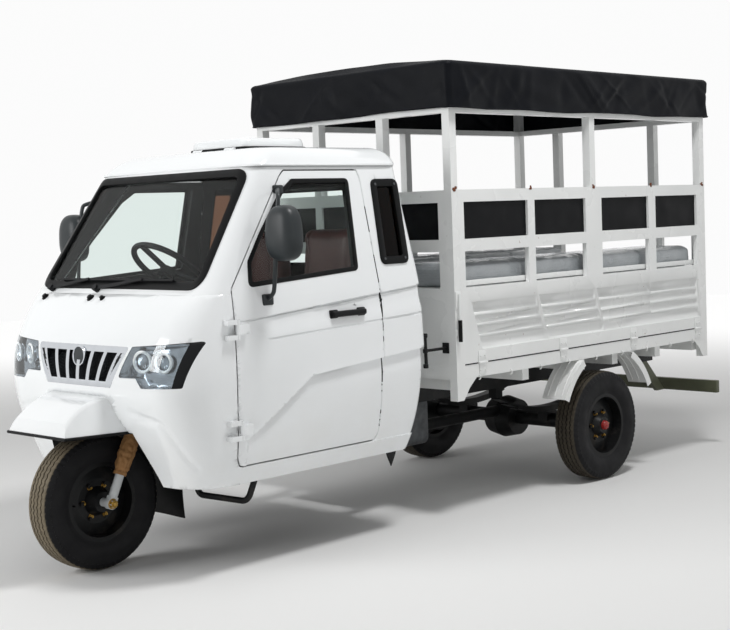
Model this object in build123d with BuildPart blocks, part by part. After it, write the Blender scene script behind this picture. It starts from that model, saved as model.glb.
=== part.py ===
"""Enclosed cargo tricycle: a closed cab over one steered front wheel, and a bench bed under a tarpaulin canopy
on a leaf-sprung rear axle.

Frame: millimetres, +X forward, +Y to the vehicle's left, +Z up. The origin is on the floor, on the centre plane,
midway between the back of the bumper bar and the front of the front tyre.
"""

import os
from math import asin, atan2, cos, degrees, radians, sin, tan
from typing import NamedTuple

from build123d import *

os.makedirs("parts", exist_ok=True)

# Wheels and stance
WHEELBASE = 2750.0
REAR_TRACK = 1194.0
REAR_OVERHANG = 1175.0  # rear axle to the back of the bumper bar
TYRE_RADIUS = 285.0
TYRE_WIDTH = 145.0
RIM_RADIUS = 152.0  # bead seat
RIM_WIDTH = 108.0
RIM_FLANGE = 16.0
RIM_WALL = 4.0
DISC_THICK = 6.0
HUB_RADIUS = 62.0
STUD_COUNT = 6
NUT_RADIUS = 10.0
NUT_HEIGHT = 12.0
FIT = 0.3  # clearance between pieces that seat on each other
WIDE = 800.0  # past the cab's sides, for cuts across it
FAR = 600.0  # past the cab's front, for cuts ahead
MOVING_GAP = 6.0  # clearance round pieces that move

# Cab
CAB_WALL = 40.0
BELT = 1140.0  # height of the windscreen's foot
GUTTER = 1655.0  # height of the roof's lower edge
GLASS_DEPTH = 8.0  # from the cab's skin to the glass
GLASS_THICK = 5.0
FLOOR_TOP = 475.0
FLOOR_THICK = 15.0
DOOR_TAPER = 14.0  # degrees that the door's shut faces lean
DOOR_FRONT = 2500.0  # ahead of the rear axle
DOOR_REAR = 1664.0
DOOR_FOOT = 430.0
HINGE_OUT = 18.0  # hinge line, outside the widest skin
HINGE_BACK = 3.0  # hinge line, behind the doorway's front edge
HINGE_HEIGHTS = [600.0, 1000.0]
KNUCKLE = 40.0
KNUCKLE_RADIUS = 8.0
PIN_RADIUS = 4.5
STRAP = 56.0
STRAP_SINK = 39.0  # from the hinge line into the wall
STRAP_FOOT = 0.7  # share of a strap that goes down to the wall
STRAP_STEP = 3.0  # from the barrel's outside down to the strap

# Front fork
RAKE = 25.0  # degrees
FORK_HALF = 115.0  # centre plane to a leg's axis
LEG_RADIUS = 19.0
COVER_RADIUS = 30.0
STEM_RADIUS = 20.0
AXLE_RADIUS = 12.0
YOKE_START = 312.0  # along the steering axis, from the front axle
YOKE_THICK = 34.0
HEAD_START = 400.0
HEAD_LENGTH = 200.0
HEAD_WALL = 14.0
HEAD_CAP = 22.0

# Ladder frame
RAIL_HALF = 280.0  # centre plane to a rail's middle
RAIL_WIDTH = 50.0
RAIL_HEIGHT = 80.0
FRONT_RAIL_TOP = 459.7
REAR_RAIL_TOP = 590.0

# Load bed
BED_FRONT = 1180.0  # ahead of the rear axle
BED_REAR = -1018.0
BED_HALF = 662.5
BED_LENGTH = BED_FRONT - BED_REAR
BED_FLOOR = 717.0
BED_SILL = BED_FLOOR - 65
PLATE = 17.0
BED_CROSS_WIDTH = 50.0
SILL_WIDTH = 40.0
SIDE_HEIGHT = 359.0
SIDE_THICK = 30.0
POST = 45.0
POST_FOOT = BED_FLOOR - 165
LATTICE_GAP = 169.0  # from the drop side up to the lattice
LATTICE_RAIL = 57.0
LATTICE_THICK = 25.0
PANEL_HEIGHT = 172.0
PANEL_THICK = 4.0
OPEN_HEIGHT = 354.0  # from the lattice up to the eaves
EAVES_HEIGHT = 30.0
CANOPY_RISE = 200.0  # from the eaves up to the bows
BOW_HEIGHT = 33.0
SIDE_TOP = BED_FLOOR + SIDE_HEIGHT
LOW_RAIL = SIDE_TOP + LATTICE_GAP
LOW_RAIL_TOP = LOW_RAIL + LATTICE_RAIL
TOP_RAIL = LOW_RAIL_TOP + PANEL_HEIGHT
TOP_RAIL_TOP = TOP_RAIL + LATTICE_RAIL
EAVES_RAIL = TOP_RAIL_TOP + OPEN_HEIGHT
EAVES_RAIL_TOP = EAVES_RAIL + EAVES_HEIGHT
ROOF_RAIL = EAVES_RAIL + CANOPY_RISE
ROOF_RAIL_TOP = ROOF_RAIL + BOW_HEIGHT
FRONT_POST_Y = 220.0  # inner posts of the front bulkhead
REAR_POST_Y = 340.0  # posts beside the rear entry
BENCH_DEPTH = 370.0
BENCH_PAN = 30.0
CUSHION = 112.0
TARP = 5.0
TARP_HEM = EAVES_RAIL + 20
TARP_REACH = 26.0  # tarpaulin outside the posts
TARP_CROWN = 26.0

# The rear axle's place follows from the overall length, which the origin halves
OVERALL = REAR_OVERHANG + WHEELBASE + TYRE_RADIUS
REAR_AXLE_X = REAR_OVERHANG - OVERALL / 2
FRONT_AXLE_X = REAR_AXLE_X + WHEELBASE


def ahead(distance):
    """X of a place that lies so far ahead of the rear axle."""
    return REAR_AXLE_X + distance


def along(place, across=0.0):
    """(X, Z) of a place on the steering axis, and a distance in front of it."""
    lean = radians(RAKE)
    x = FRONT_AXLE_X - place * sin(lean) + across * cos(lean)
    z = TYRE_RADIUS + place * cos(lean) + across * sin(lean)
    return x, z


def steering_plane(place):
    """Plane square to the steering axis, its X across the vehicle's centre plane, pointing forward."""
    x, z = along(place)
    lean = radians(RAKE)
    return Plane((x, 0, z), x_dir=(cos(lean), 0, sin(lean)), z_dir=(-sin(lean), 0, cos(lean)))


def save(piece, name):
    """Labels a finished piece and writes it."""
    piece.part.label = name
    export_step(piece.part, f"parts/{name}.step")


def box(low, high, mode=Mode.ADD):
    """A box between two corners."""
    size = [high[i] - low[i] for i in range(3)]
    middle = [(high[i] + low[i]) / 2 for i in range(3)]
    with Locations(tuple(middle)):
        Box(*size, mode=mode)


def flat_face(plane, points, rounding=0.0, shrink=0.0):
    """A face on a plane through points, its corners rounded and the whole drawn in by shrink."""
    with BuildSketch(plane) as face:
        with BuildLine():
            Polyline(*points, close=True)
        make_face()
        if rounding:
            fillet(face.vertices(), rounding)
        if shrink:
            offset(amount=-shrink, mode=Mode.REPLACE)
    return face.sketch


def arc_band(plane, centre, inner, outer, start, stop):
    """A face on a plane between two arcs about one centre, from angle start to stop."""
    with BuildSketch(plane) as band:
        with BuildLine():
            far = CenterArc(centre, outer, start, stop - start)
            near = CenterArc(centre, inner, start, stop - start)
            Line(far @ 0, near @ 0)
            Line(far @ 1, near @ 1)
        make_face()
    return band.sketch


def upright(across):
    """The side-view plane at a distance to the left, its X forward and its Y up."""
    return Plane.XZ.offset(-across)


# Cab skin: level sections


class CabRow(NamedTuple):
    height: float
    rear: float  # ahead of the rear axle
    front: float  # ahead of the rear axle, at the corners
    half: float
    corner: float  # radius of the front corners
    bow: float  # how far the front's middle stands forward


LOWER_ROWS = [
    CabRow(370, 1450, 2660, 598, 170, 24),
    CabRow(560, 1398, 2728, 640, 190, 26),
    CabRow(790, 1372, 2776, 655, 205, 28),
    CabRow(950, 1370, 2744, 655, 200, 24),
    CabRow(BELT, 1370, 2606, 637, 110, 6),
]
UPPER_ROWS = [
    LOWER_ROWS[-1],
    CabRow(GUTTER, 1412, 2262, 540, 80, 6),
]
ROOF_ROWS = [
    CabRow(GUTTER, 1404, 2266, 545, 84, 6),
    CabRow(GUTTER + 45, 1422, 2216, 518, 90, 10),
    CabRow(GUTTER + 73, 1510, 2080, 410, 110, 12),
]
CAB_HALF = max(row.half for row in LOWER_ROWS)
REAR_CORNER = 45.0


def cab_outline(row, inset):
    """One level section of the cab, drawn in from the skin by inset."""
    rear = ahead(row.rear) + inset
    front = ahead(row.front) - inset
    half = row.half - inset
    with BuildSketch(Plane.XY.offset(row.height)) as section:
        with BuildLine():
            Polyline((front, -half), (rear, -half), (rear, half), (front, half))
            ThreePointArc((front, half), (front + row.bow, 0), (front, -half))
        make_face()
        fillet(section.vertices().sort_by(Axis.X)[2:], max(row.corner - inset, 12))
        fillet(section.vertices().sort_by(Axis.X)[:2], max(REAR_CORNER - inset, 6))
    return section.sketch


def cab_loft(rows, inset, ruled, mode=Mode.ADD):
    """Lofts level sections of the cab in the active part."""
    loft([cab_outline(row, inset) for row in rows], ruled=ruled, mode=mode)


def cab_body(inset, mode=Mode.ADD):
    """The cab's solid from its foot to the gutter, drawn in from the skin by inset."""
    cab_loft(LOWER_ROWS, inset, False, mode)
    cab_loft(UPPER_ROWS, inset, True, mode)


with BuildPart() as cab_skin:
    cab_body(0)
    cab_body(CAB_WALL, Mode.SUBTRACT)

with BuildPart() as cab_inside:
    cab_body(CAB_WALL + FIT)

with BuildPart() as glass_layer:
    cab_loft(UPPER_ROWS, GLASS_DEPTH, True)
    cab_loft(UPPER_ROWS, GLASS_DEPTH + GLASS_THICK, True, Mode.SUBTRACT)

# Door outline on the plane of the widest skin, as (ahead of the rear axle, height)
DOOR_OUTLINE = [
    (DOOR_REAR, DOOR_FOOT),
    (DOOR_FRONT, DOOR_FOOT),
    (DOOR_FRONT, BELT + 20),
    (2132, GUTTER + 5),
    (DOOR_REAR - 30, GUTTER + 5),
]
DOOR_CORNER = 42.0
DOOR_GLASS_TOP = GUTTER - 65
DOOR_WINDOW = [
    (1770, BELT + 58),
    (2396, BELT + 22),
    (2380, BELT + 122),
    (2300, BELT + 225),
    (2146, DOOR_GLASS_TOP - 50),
    (2070, DOOR_GLASS_TOP),
    (1740, DOOR_GLASS_TOP),
]
DOOR_WINDOW_CORNER = 20.0
QUARTER_TOP = GUTTER - 71
QUARTER_WINDOW = [(1446, BELT + 74), (1616, BELT + 74), (1598, QUARTER_TOP), (1436, QUARTER_TOP)]
QUARTER_CORNER = 30.0
# Front and back windows, as (across, height)
SCREEN_FOOT = BELT + 34
SCREEN_TOP = GUTTER - 33
SCREEN_WIDE = 546.0  # half-width at its foot
SCREEN_NARROW = 500.0  # half-width at its top
SCREEN_CORNER = 50.0
WINDSCREEN = [
    (-SCREEN_WIDE, SCREEN_FOOT),
    (SCREEN_WIDE, SCREEN_FOOT),
    (SCREEN_NARROW, SCREEN_TOP),
    (-SCREEN_NARROW, SCREEN_TOP),
]
BACK_FOOT = BELT + 60
BACK_TOP = GUTTER - 95
BACK_CORNER = 40.0
BACK_WINDOW = [(-430, BACK_FOOT), (430, BACK_FOOT), (390, BACK_TOP), (-390, BACK_TOP)]
PRISM_START = 40.0  # outside the widest section
PRISM_DEPTH = 255.0


def door_prism(shrink, mode=Mode.ADD):
    """The left door's tapered outline through the cab's wall."""
    grow = PRISM_START * tan(radians(DOOR_TAPER))
    points = [(ahead(x), z) for x, z in DOOR_OUTLINE]
    face = flat_face(upright(CAB_HALF + PRISM_START), points, DOOR_CORNER, shrink - grow)
    extrude(face, amount=PRISM_DEPTH, taper=DOOR_TAPER, mode=mode)


def side_prism(outline, rounding, shrink, mode):
    """A window outline in the side view, through the left wall."""
    points = [(ahead(x), z) for x, z in outline]
    face = flat_face(upright(CAB_HALF + PRISM_START), points, rounding, shrink)
    extrude(face, amount=PRISM_DEPTH, mode=mode)


# Press lines in the side view, as (ahead of the rear axle, height), and how deep each is sunk
LINE_WIDTH = 9.0
UPPER_LINE = [(2462, 1030), (1340, 1116)]
LOWER_LINE = [(2322, 950), (1340, 992)]
LINE_DEPTH = 3.0
CREASE = [(2440, 548), (2088, 775), (1340, 832), (1340, 440), (2440, 440)]
CREASE_DEPTH = 6.0


def front_prism(outline, rounding, shrink, start, reach, mode):
    """An outline in the front view, as (Y, Z), from start and so far forward."""
    extrude(flat_face(Plane.YZ.offset(ahead(start)), outline, rounding, shrink), amount=reach, mode=mode)


# Doors with their glass and hinges

HINGE_X = ahead(DOOR_FRONT) - HINGE_BACK
HINGE_Y = CAB_HALF + HINGE_OUT


def knuckle(low, high, reach):
    """One knuckle of the left door's hinge line, with a strap that reaches so far along the skin."""
    with BuildSketch(Plane.XY.offset(low)) as barrel:
        with Locations((HINGE_X, HINGE_Y)):
            Circle(KNUCKLE_RADIUS)
    extrude(barrel.sketch, amount=high - low)
    tip = HINGE_X + reach
    top_y = HINGE_Y + KNUCKLE_RADIUS - STRAP_STEP
    roots = ((HINGE_X, HINGE_Y - KNUCKLE_RADIUS), (tip - reach * STRAP_FOOT, HINGE_Y - STRAP_SINK))
    for root, foot_y in roots:
        ends = sorted((root, tip))
        box((ends[0], foot_y, low), (ends[1], top_y, high))


def hinge_pin(radius, low, high, mode):
    """The left door's hinge pin, or the room for it."""
    with BuildSketch(Plane.XY.offset(low)) as round_face:
        with Locations((HINGE_X, HINGE_Y)):
            Circle(radius)
    extrude(round_face.sketch, amount=high - low, mode=mode)


with BuildPart() as door_knuckles:
    for height in HINGE_HEIGHTS:
        knuckle(height - KNUCKLE / 2, height + KNUCKLE / 2, -STRAP)
        hinge_pin(PIN_RADIUS + FIT, height - KNUCKLE, height + KNUCKLE, Mode.SUBTRACT)

with BuildPart() as cab_block:
    cab_body(-FIT)

with BuildPart() as door_hinges:
    for height in HINGE_HEIGHTS:
        for low in (height - KNUCKLE - FIT, height + KNUCKLE / 2 + FIT):
            knuckle(low, low + KNUCKLE / 2, STRAP)
        hinge_pin(PIN_RADIUS, height - KNUCKLE, height + KNUCKLE, Mode.ADD)
    add(cab_block.part, mode=Mode.SUBTRACT)
    mirror(about=Plane.XZ)
save(door_hinges, "door_hinges")

with BuildPart() as press_lines:
    for (front, front_z), (rear, rear_z) in (UPPER_LINE, LOWER_LINE):
        groove = [
            (front, front_z),
            (rear, rear_z),
            (rear, rear_z - LINE_WIDTH),
            (front, front_z - LINE_WIDTH),
        ]
        side_prism(groove, 0, 0, Mode.ADD)
    cab_body(LINE_DEPTH, Mode.SUBTRACT)

with BuildPart() as crease:
    side_prism(CREASE, 0, 0, Mode.ADD)
    cab_body(CREASE_DEPTH, Mode.SUBTRACT)

with BuildPart() as door_left:
    door_prism(MOVING_GAP)
    add(cab_skin.part, mode=Mode.INTERSECT)
    side_prism(DOOR_WINDOW, DOOR_WINDOW_CORNER, 0, Mode.SUBTRACT)
    add(press_lines.part, mode=Mode.SUBTRACT)
    add(crease.part, mode=Mode.SUBTRACT)
    add(door_knuckles.part)
save(door_left, "door_left")

with BuildPart() as door_glass_left:
    side_prism(DOOR_WINDOW, DOOR_WINDOW_CORNER, FIT, Mode.ADD)
    add(glass_layer.part, mode=Mode.INTERSECT)
save(door_glass_left, "door_glass_left")

with BuildPart() as door_right:
    add(door_left.part.mirror(Plane.XZ))
save(door_right, "door_right")

with BuildPart() as door_glass_right:
    add(door_glass_left.part.mirror(Plane.XZ))
save(door_glass_right, "door_glass_right")

with BuildPart() as doorways:
    door_prism(0)
    mirror(about=Plane.XZ)

with BuildPart() as cab_shell:
    add(cab_skin.part)
    add(doorways.part, mode=Mode.SUBTRACT)

# Front mudguard: a beak whose sides lean in as they rise, under a top line that falls to its tip

MUDGUARD_BACK = 2640.0  # ahead of the rear axle
MUDGUARD_BEND = 2770.0
MUDGUARD_TIP = 3016.0
MUDGUARD_BACK_HALF = 308.0  # half-width at the hem
MUDGUARD_TIP_HALF = 206.0
MUDGUARD_HEM = 592.0
MUDGUARD_CROWN = 742.0
MUDGUARD_TIP_TOP = 622.0
MUDGUARD_LEAN = 24.0  # degrees that its sides lean
MUDGUARD_SHEET = 4.0
MUDGUARD_SHOULDER = 26.0  # radius
MUDGUARD_RUN = 2.0  # how far the hollow runs out of the open hem and back


def mudguard_solid(inset, run):
    """The beak's solid form, drawn in by inset at its sides, top and tip, and run out of its hem and back."""
    back = ahead(MUDGUARD_BACK) - run
    tip = ahead(MUDGUARD_TIP) - inset
    foot = MUDGUARD_HEM - run
    wide = MUDGUARD_BACK_HALF - inset
    narrow = MUDGUARD_TIP_HALF - inset
    crown = MUDGUARD_CROWN - inset
    hem = [(back, -wide), (tip, -narrow), (tip, narrow), (back, wide)]
    with BuildPart() as form:
        extrude(flat_face(Plane.XY.offset(foot), hem), amount=MUDGUARD_CROWN - foot, taper=MUDGUARD_LEAN)
        with BuildSketch(Plane.XZ) as side_view:
            with BuildLine():
                level = Line((back, crown), (ahead(MUDGUARD_BEND), crown))
                fall = TangentArc(level @ 1, (tip, MUDGUARD_TIP_TOP - inset), tangent=level % 1)
                Polyline(fall @ 1, (tip, foot), (back, foot), (back, crown))
            make_face()
        extrude(side_view.sketch, amount=MUDGUARD_BACK_HALF, both=True, mode=Mode.INTERSECT)
        lengthways = form.edges().filter_by(lambda edge: abs(edge.tangent_at(0.5).X) > 0.5)
        shoulders = lengthways.filter_by(lambda edge: edge.center().Z > MUDGUARD_TIP_TOP)
        fillet(shoulders, MUDGUARD_SHOULDER - inset)
    return form.part


mudguard_form = mudguard_solid(0, 0)
mudguard_hollow = mudguard_solid(MUDGUARD_SHEET, MUDGUARD_RUN)

with BuildPart() as front_mudguard:
    add(mudguard_form)
    add(mudguard_hollow, mode=Mode.SUBTRACT)
save(front_mudguard, "front_mudguard")

# Cab nose, with the arch, lamps and grille let into it

GRILLE_CORNER = 10.0
GRILLE_REACH = 400.0  # past the grille's sides
NOSE_BACK = ahead(DOOR_FRONT) - 40  # where the nose meets the side panels
GRILLE = [(-226, 777), (226, 777), (322, 942), (-322, 942)]
LAMP = [(336, 944), (276, 820), (385, 822), (418, 784), (598, 788), (640, 966)]
LAMP_GAP = 0.6
NOSE_START = 2300.0
NOSE_REACH = 700.0
ARCH_FLARE = [(-400, 300), (400, 300), (306, MUDGUARD_HEM + 2), (-306, MUDGUARD_HEM + 2)]


def lamp_prism(shrink, mode=Mode.ADD):
    """The left headlamp's outline through the nose."""
    front_prism(LAMP, 8, shrink, NOSE_START, NOSE_REACH, mode)


with BuildPart() as lower_wall:
    cab_loft(LOWER_ROWS, 0, False)
    cab_loft(LOWER_ROWS, CAB_WALL, False, Mode.SUBTRACT)

with BuildPart() as lamp_cut:
    lamp_prism(0)
    mirror(about=Plane.XZ)

with BuildPart() as arch_cut:
    front_prism(ARCH_FLARE, 0, 0, NOSE_START, NOSE_REACH, Mode.ADD)
    add(mudguard_form)

with BuildPart() as cab_nose:
    add(cab_shell.part)
    box((NOSE_BACK, -WIDE, 0), (ahead(DOOR_FRONT) + FAR, WIDE, BELT), Mode.INTERSECT)
    add(arch_cut.part, mode=Mode.SUBTRACT)
    add(lamp_cut.part, mode=Mode.SUBTRACT)
    front_prism(GRILLE, GRILLE_CORNER, 0, NOSE_START, NOSE_REACH, Mode.SUBTRACT)
save(cab_nose, "cab_nose")

with BuildPart() as headlamps:
    lamp_prism(LAMP_GAP)
    add(lower_wall.part, mode=Mode.INTERSECT)
    box((ahead(DOOR_FRONT), 0, 0), (ahead(DOOR_FRONT) + FAR, WIDE, BELT), Mode.INTERSECT)
    mirror(about=Plane.XZ)
save(headlamps, "headlamps")

# Chrome grille: a surround, upright bars and a back plate
GRILLE_RIM = 24.0
GRILLE_BARS = 7
BAR_WIDTH = 22.0
GRILLE_BACK = 8.0

with BuildPart() as grille_hollow:
    front_prism(GRILLE, GRILLE_CORNER, FIT + GRILLE_RIM, NOSE_START, NOSE_REACH, Mode.ADD)
    cab_loft(LOWER_ROWS, CAB_WALL - GRILLE_BACK, False, Mode.SUBTRACT)
    for index in range(GRILLE_BARS):
        share = (index + 0.5) / GRILLE_BARS - 0.5
        foot = share * (GRILLE[1][0] - GRILLE[0][0])
        head = share * (GRILLE[2][0] - GRILLE[3][0])
        half_bar = BAR_WIDTH / 2
        bar = [
            (foot - half_bar, GRILLE[0][1]),
            (foot + half_bar, GRILLE[0][1]),
            (head + half_bar, GRILLE[2][1]),
            (head - half_bar, GRILLE[2][1]),
        ]
        front_prism(bar, 0, 0, NOSE_START, NOSE_REACH, Mode.SUBTRACT)

with BuildPart() as grille:
    front_prism(GRILLE, GRILLE_CORNER, FIT, NOSE_START, NOSE_REACH, Mode.ADD)
    add(lower_wall.part, mode=Mode.INTERSECT)
    box((ahead(DOOR_FRONT), -GRILLE_REACH, 0), (ahead(DOOR_FRONT) + FAR, GRILLE_REACH, BELT), Mode.INTERSECT)
    add(grille_hollow.part, mode=Mode.SUBTRACT)
save(grille, "grille")

# Windscreen frame, sides and back of the cab

MID_X = ahead(1900)
SCREEN_START = 2150.0  # behind the windscreen, ahead of the rear axle
HEADER_HALF = 480.0  # the frame keeps only its front and its sides past this
HEADER_BACK = 2130.0
CAB_BEHIND = 1300.0  # behind the cab's back, ahead of the rear axle
BACK_DEPTH = 300.0  # from there past the back panel
SPLIT_LAP = 100.0
with BuildPart() as windscreen_frame:
    add(cab_shell.part)
    box((MID_X, -WIDE, BELT), (MID_X + 2 * FAR, WIDE, GUTTER), Mode.INTERSECT)
    front_prism(WINDSCREEN, SCREEN_CORNER, 0, SCREEN_START, FAR, Mode.SUBTRACT)
    box((MID_X, -HEADER_HALF, BELT), (ahead(HEADER_BACK), HEADER_HALF, GUTTER), Mode.SUBTRACT)
save(windscreen_frame, "windscreen_frame")

SIDE_SPLIT = 500.0  # the back panel lies between the two side panels
RAIL_ROOM = RAIL_WIDTH / 2 + MOVING_GAP

with BuildPart() as cab_side_left:
    add(cab_shell.part)
    box((ahead(CAB_BEHIND), SIDE_SPLIT, 0), (NOSE_BACK, WIDE, GUTTER), Mode.INTERSECT)
    box((MID_X, SIDE_SPLIT - SPLIT_LAP, BELT), (MID_X + 2 * FAR, WIDE, GUTTER), Mode.SUBTRACT)
    side_prism(QUARTER_WINDOW, QUARTER_CORNER, 0, Mode.SUBTRACT)
    add(press_lines.part, mode=Mode.SUBTRACT)
    add(crease.part, mode=Mode.SUBTRACT)
save(cab_side_left, "cab_side_left")

with BuildPart() as cab_side_right:
    add(cab_side_left.part.mirror(Plane.XZ))
save(cab_side_right, "cab_side_right")

with BuildPart() as cab_back:
    add(cab_skin.part)
    box(
        (ahead(CAB_BEHIND), -SIDE_SPLIT, 0),
        (ahead(CAB_BEHIND) + BACK_DEPTH, SIDE_SPLIT, GUTTER),
        Mode.INTERSECT,
    )
    front_prism(BACK_WINDOW, BACK_CORNER, 0, CAB_BEHIND, BACK_DEPTH, Mode.SUBTRACT)
    for side in (-1, 1):
        middle = side * RAIL_HALF
        box(
            (ahead(CAB_BEHIND), middle - RAIL_ROOM, 0),
            (ahead(CAB_BEHIND) + BACK_DEPTH, middle + RAIL_ROOM, FLOOR_TOP - FLOOR_THICK),
            Mode.SUBTRACT,
        )
save(cab_back, "cab_back")

with BuildPart() as small_panes:
    side_prism(QUARTER_WINDOW, QUARTER_CORNER, FIT, Mode.ADD)
    mirror(about=Plane.XZ)
    front_prism(BACK_WINDOW, BACK_CORNER, FIT, CAB_BEHIND, BACK_DEPTH, Mode.ADD)
    add(glass_layer.part, mode=Mode.INTERSECT)

with BuildPart() as cab_glass:
    front_prism(WINDSCREEN, SCREEN_CORNER, FIT, SCREEN_START, FAR, Mode.ADD)
    add(glass_layer.part, mode=Mode.INTERSECT)
    add(small_panes.part)
save(cab_glass, "cab_glass")

TOE_TOP = 850.0
TOE_FOOT_X = 2345.0  # ahead of the rear axle
TOE_TOP_X = 2400.0
with BuildPart() as cab_floor:
    floor_foot = FLOOR_TOP - FLOOR_THICK
    floor_line = [
        (ahead(CAB_BEHIND), floor_foot),
        (ahead(TOE_FOOT_X), floor_foot),
        (ahead(TOE_TOP_X), TOE_TOP),
        (ahead(TOE_TOP_X) - FLOOR_THICK, TOE_TOP),
        (ahead(TOE_FOOT_X) - FLOOR_THICK, FLOOR_TOP),
        (ahead(CAB_BEHIND), FLOOR_TOP),
    ]
    extrude(flat_face(upright(0), floor_line), amount=WIDE, both=True)
    add(cab_inside.part, mode=Mode.INTERSECT)
save(cab_floor, "cab_floor")

# Roof with its hatch

ROOF_WALL = 22.0
HATCH_FRONT = 2010.0
HATCH_LENGTH = 380.0
HATCH_HALF = 195.0
HATCH_HEIGHT = 34.0
HATCH_EDGE = 20.0  # radius
HATCH_CORNER = 50.0  # radius
HATCH_RIM = 30.0
ROOF_TOP = ROOF_ROWS[-1].height
HATCH_HINGE_OUT = 12.0
HATCH_HINGE_LIFT = 5.0
HATCH_HINGE_X = ahead(HATCH_FRONT) + HATCH_HINGE_OUT
HATCH_HINGE_Z = ROOF_TOP + KNUCKLE_RADIUS + HATCH_HINGE_LIFT
HATCH_HINGE_Y = 110.0
LUG = 12.0  # width of a fixed hinge lug
ROOF_RIBS = [250.0, 310.0, 370.0]  # across, of the sunk ribs
RIB_WIDTH = 22.0
RIB_DEPTH = 4.0
RIB_ENDS = (1560.0, 2040.0)  # ahead of the rear axle


def cross_round(x, z, radius, low, high, mode):
    """A round bar across the vehicle between two places."""
    with BuildSketch(upright(low)) as round_face:
        with Locations((x, z)):
            Circle(radius)
    extrude(round_face.sketch, amount=low - high, mode=mode)


with BuildPart() as cab_roof:
    cab_loft(ROOF_ROWS, 0, False)
    inner_rows = [row._replace(height=row.height - ROOF_WALL * (i > 0)) for i, row in enumerate(ROOF_ROWS)]
    cab_loft(inner_rows, ROOF_WALL, False, Mode.SUBTRACT)
    hatch_low = (ahead(HATCH_FRONT - HATCH_LENGTH) + HATCH_RIM, -HATCH_HALF + HATCH_RIM, GUTTER)
    hatch_high = (ahead(HATCH_FRONT) - HATCH_RIM, HATCH_HALF - HATCH_RIM, ROOF_TOP + FIT)
    box(hatch_low, hatch_high, Mode.SUBTRACT)
    for across in ROOF_RIBS:
        for middle in (-across, across):
            box(
                (ahead(RIB_ENDS[0]), middle - RIB_WIDTH / 2, ROOF_TOP - RIB_DEPTH),
                (ahead(RIB_ENDS[1]), middle + RIB_WIDTH / 2, ROOF_TOP + RIB_DEPTH),
                Mode.SUBTRACT,
            )
    for across in (-HATCH_HINGE_Y, HATCH_HINGE_Y):
        for low in (across - KNUCKLE / 2 - FIT - LUG, across + KNUCKLE / 2 + FIT):
            box(
                (HATCH_HINGE_X - KNUCKLE_RADIUS, low, ROOF_TOP - RIB_DEPTH),
                (HATCH_HINGE_X + KNUCKLE_RADIUS, low + LUG, HATCH_HINGE_Z),
            )
            cross_round(HATCH_HINGE_X, HATCH_HINGE_Z, KNUCKLE_RADIUS, low, low + LUG, Mode.ADD)
        pin_half = KNUCKLE / 2 + LUG
        cross_round(HATCH_HINGE_X, HATCH_HINGE_Z, PIN_RADIUS, across - pin_half, across + pin_half, Mode.ADD)
save(cab_roof, "cab_roof")

with BuildPart() as roof_hatch:
    box(
        (ahead(HATCH_FRONT - HATCH_LENGTH), -HATCH_HALF, ROOF_TOP + FIT),
        (ahead(HATCH_FRONT), HATCH_HALF, ROOF_TOP + FIT + HATCH_HEIGHT),
    )
    fillet(roof_hatch.edges().filter_by(Axis.Z), HATCH_CORNER)
    fillet(roof_hatch.faces().sort_by(Axis.Z)[-1].edges(), HATCH_EDGE)
    for across in (-HATCH_HINGE_Y, HATCH_HINGE_Y):
        ends = (across - KNUCKLE / 2, across + KNUCKLE / 2)
        cross_round(HATCH_HINGE_X, HATCH_HINGE_Z, KNUCKLE_RADIUS, *ends, Mode.ADD)
        box(
            (ahead(HATCH_FRONT) - HATCH_EDGE, ends[0], HATCH_HINGE_Z - KNUCKLE_RADIUS),
            (HATCH_HINGE_X, ends[1], HATCH_HINGE_Z),
        )
        edges = across - KNUCKLE, across + KNUCKLE
        cross_round(HATCH_HINGE_X, HATCH_HINGE_Z, PIN_RADIUS + FIT, *edges, Mode.SUBTRACT)
save(roof_hatch, "roof_hatch")

# Wipers, on the windscreen's own plane

GLASS_LEAN = atan2(UPPER_ROWS[0].front - UPPER_ROWS[1].front, GUTTER - BELT)
GLASS_PLANE = Plane(
    (ahead(UPPER_ROWS[0].front) + UPPER_ROWS[0].bow, 0, BELT),
    x_dir=(0, 1, 0),
    z_dir=(cos(GLASS_LEAN), 0, sin(GLASS_LEAN)),
)
WIPERS = [(-450.0, -190.0), (-110.0, 190.0)]  # across: pivot, blade's middle
WIPER_FOOT = 18.0  # up the glass, of the pivot
WIPER_RISE = 62.0  # up the glass, of the blade
WIPER_LIFT = 12.0  # off the skin, of the arm
WIPER_THICK = 8.0
BLADE_LENGTH = 400.0
BLADE = 9.0
ARM_WIDTH = 12.0
PIVOT_RADIUS = 14.0
PIVOT_HEIGHT = 26.0

with BuildPart() as wipers:
    for pivot, middle in WIPERS:
        with BuildSketch(GLASS_PLANE.offset(FIT)):
            with Locations((pivot, WIPER_FOOT)):
                Circle(PIVOT_RADIUS)
        extrude(amount=PIVOT_HEIGHT)
        with BuildSketch(GLASS_PLANE.offset(WIPER_LIFT)):
            with BuildLine():
                Line((pivot, WIPER_FOOT), (middle, WIPER_RISE))
            trace(line_width=ARM_WIDTH)
        extrude(amount=WIPER_THICK)
        with BuildSketch(GLASS_PLANE.offset(FIT - GLASS_DEPTH * cos(GLASS_LEAN))):
            with Locations((middle, WIPER_RISE)):
                Rectangle(BLADE_LENGTH, BLADE)
        extrude(amount=GLASS_DEPTH + PIVOT_HEIGHT / 2)
save(wipers, "wipers")

# Inside of the cab

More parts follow.
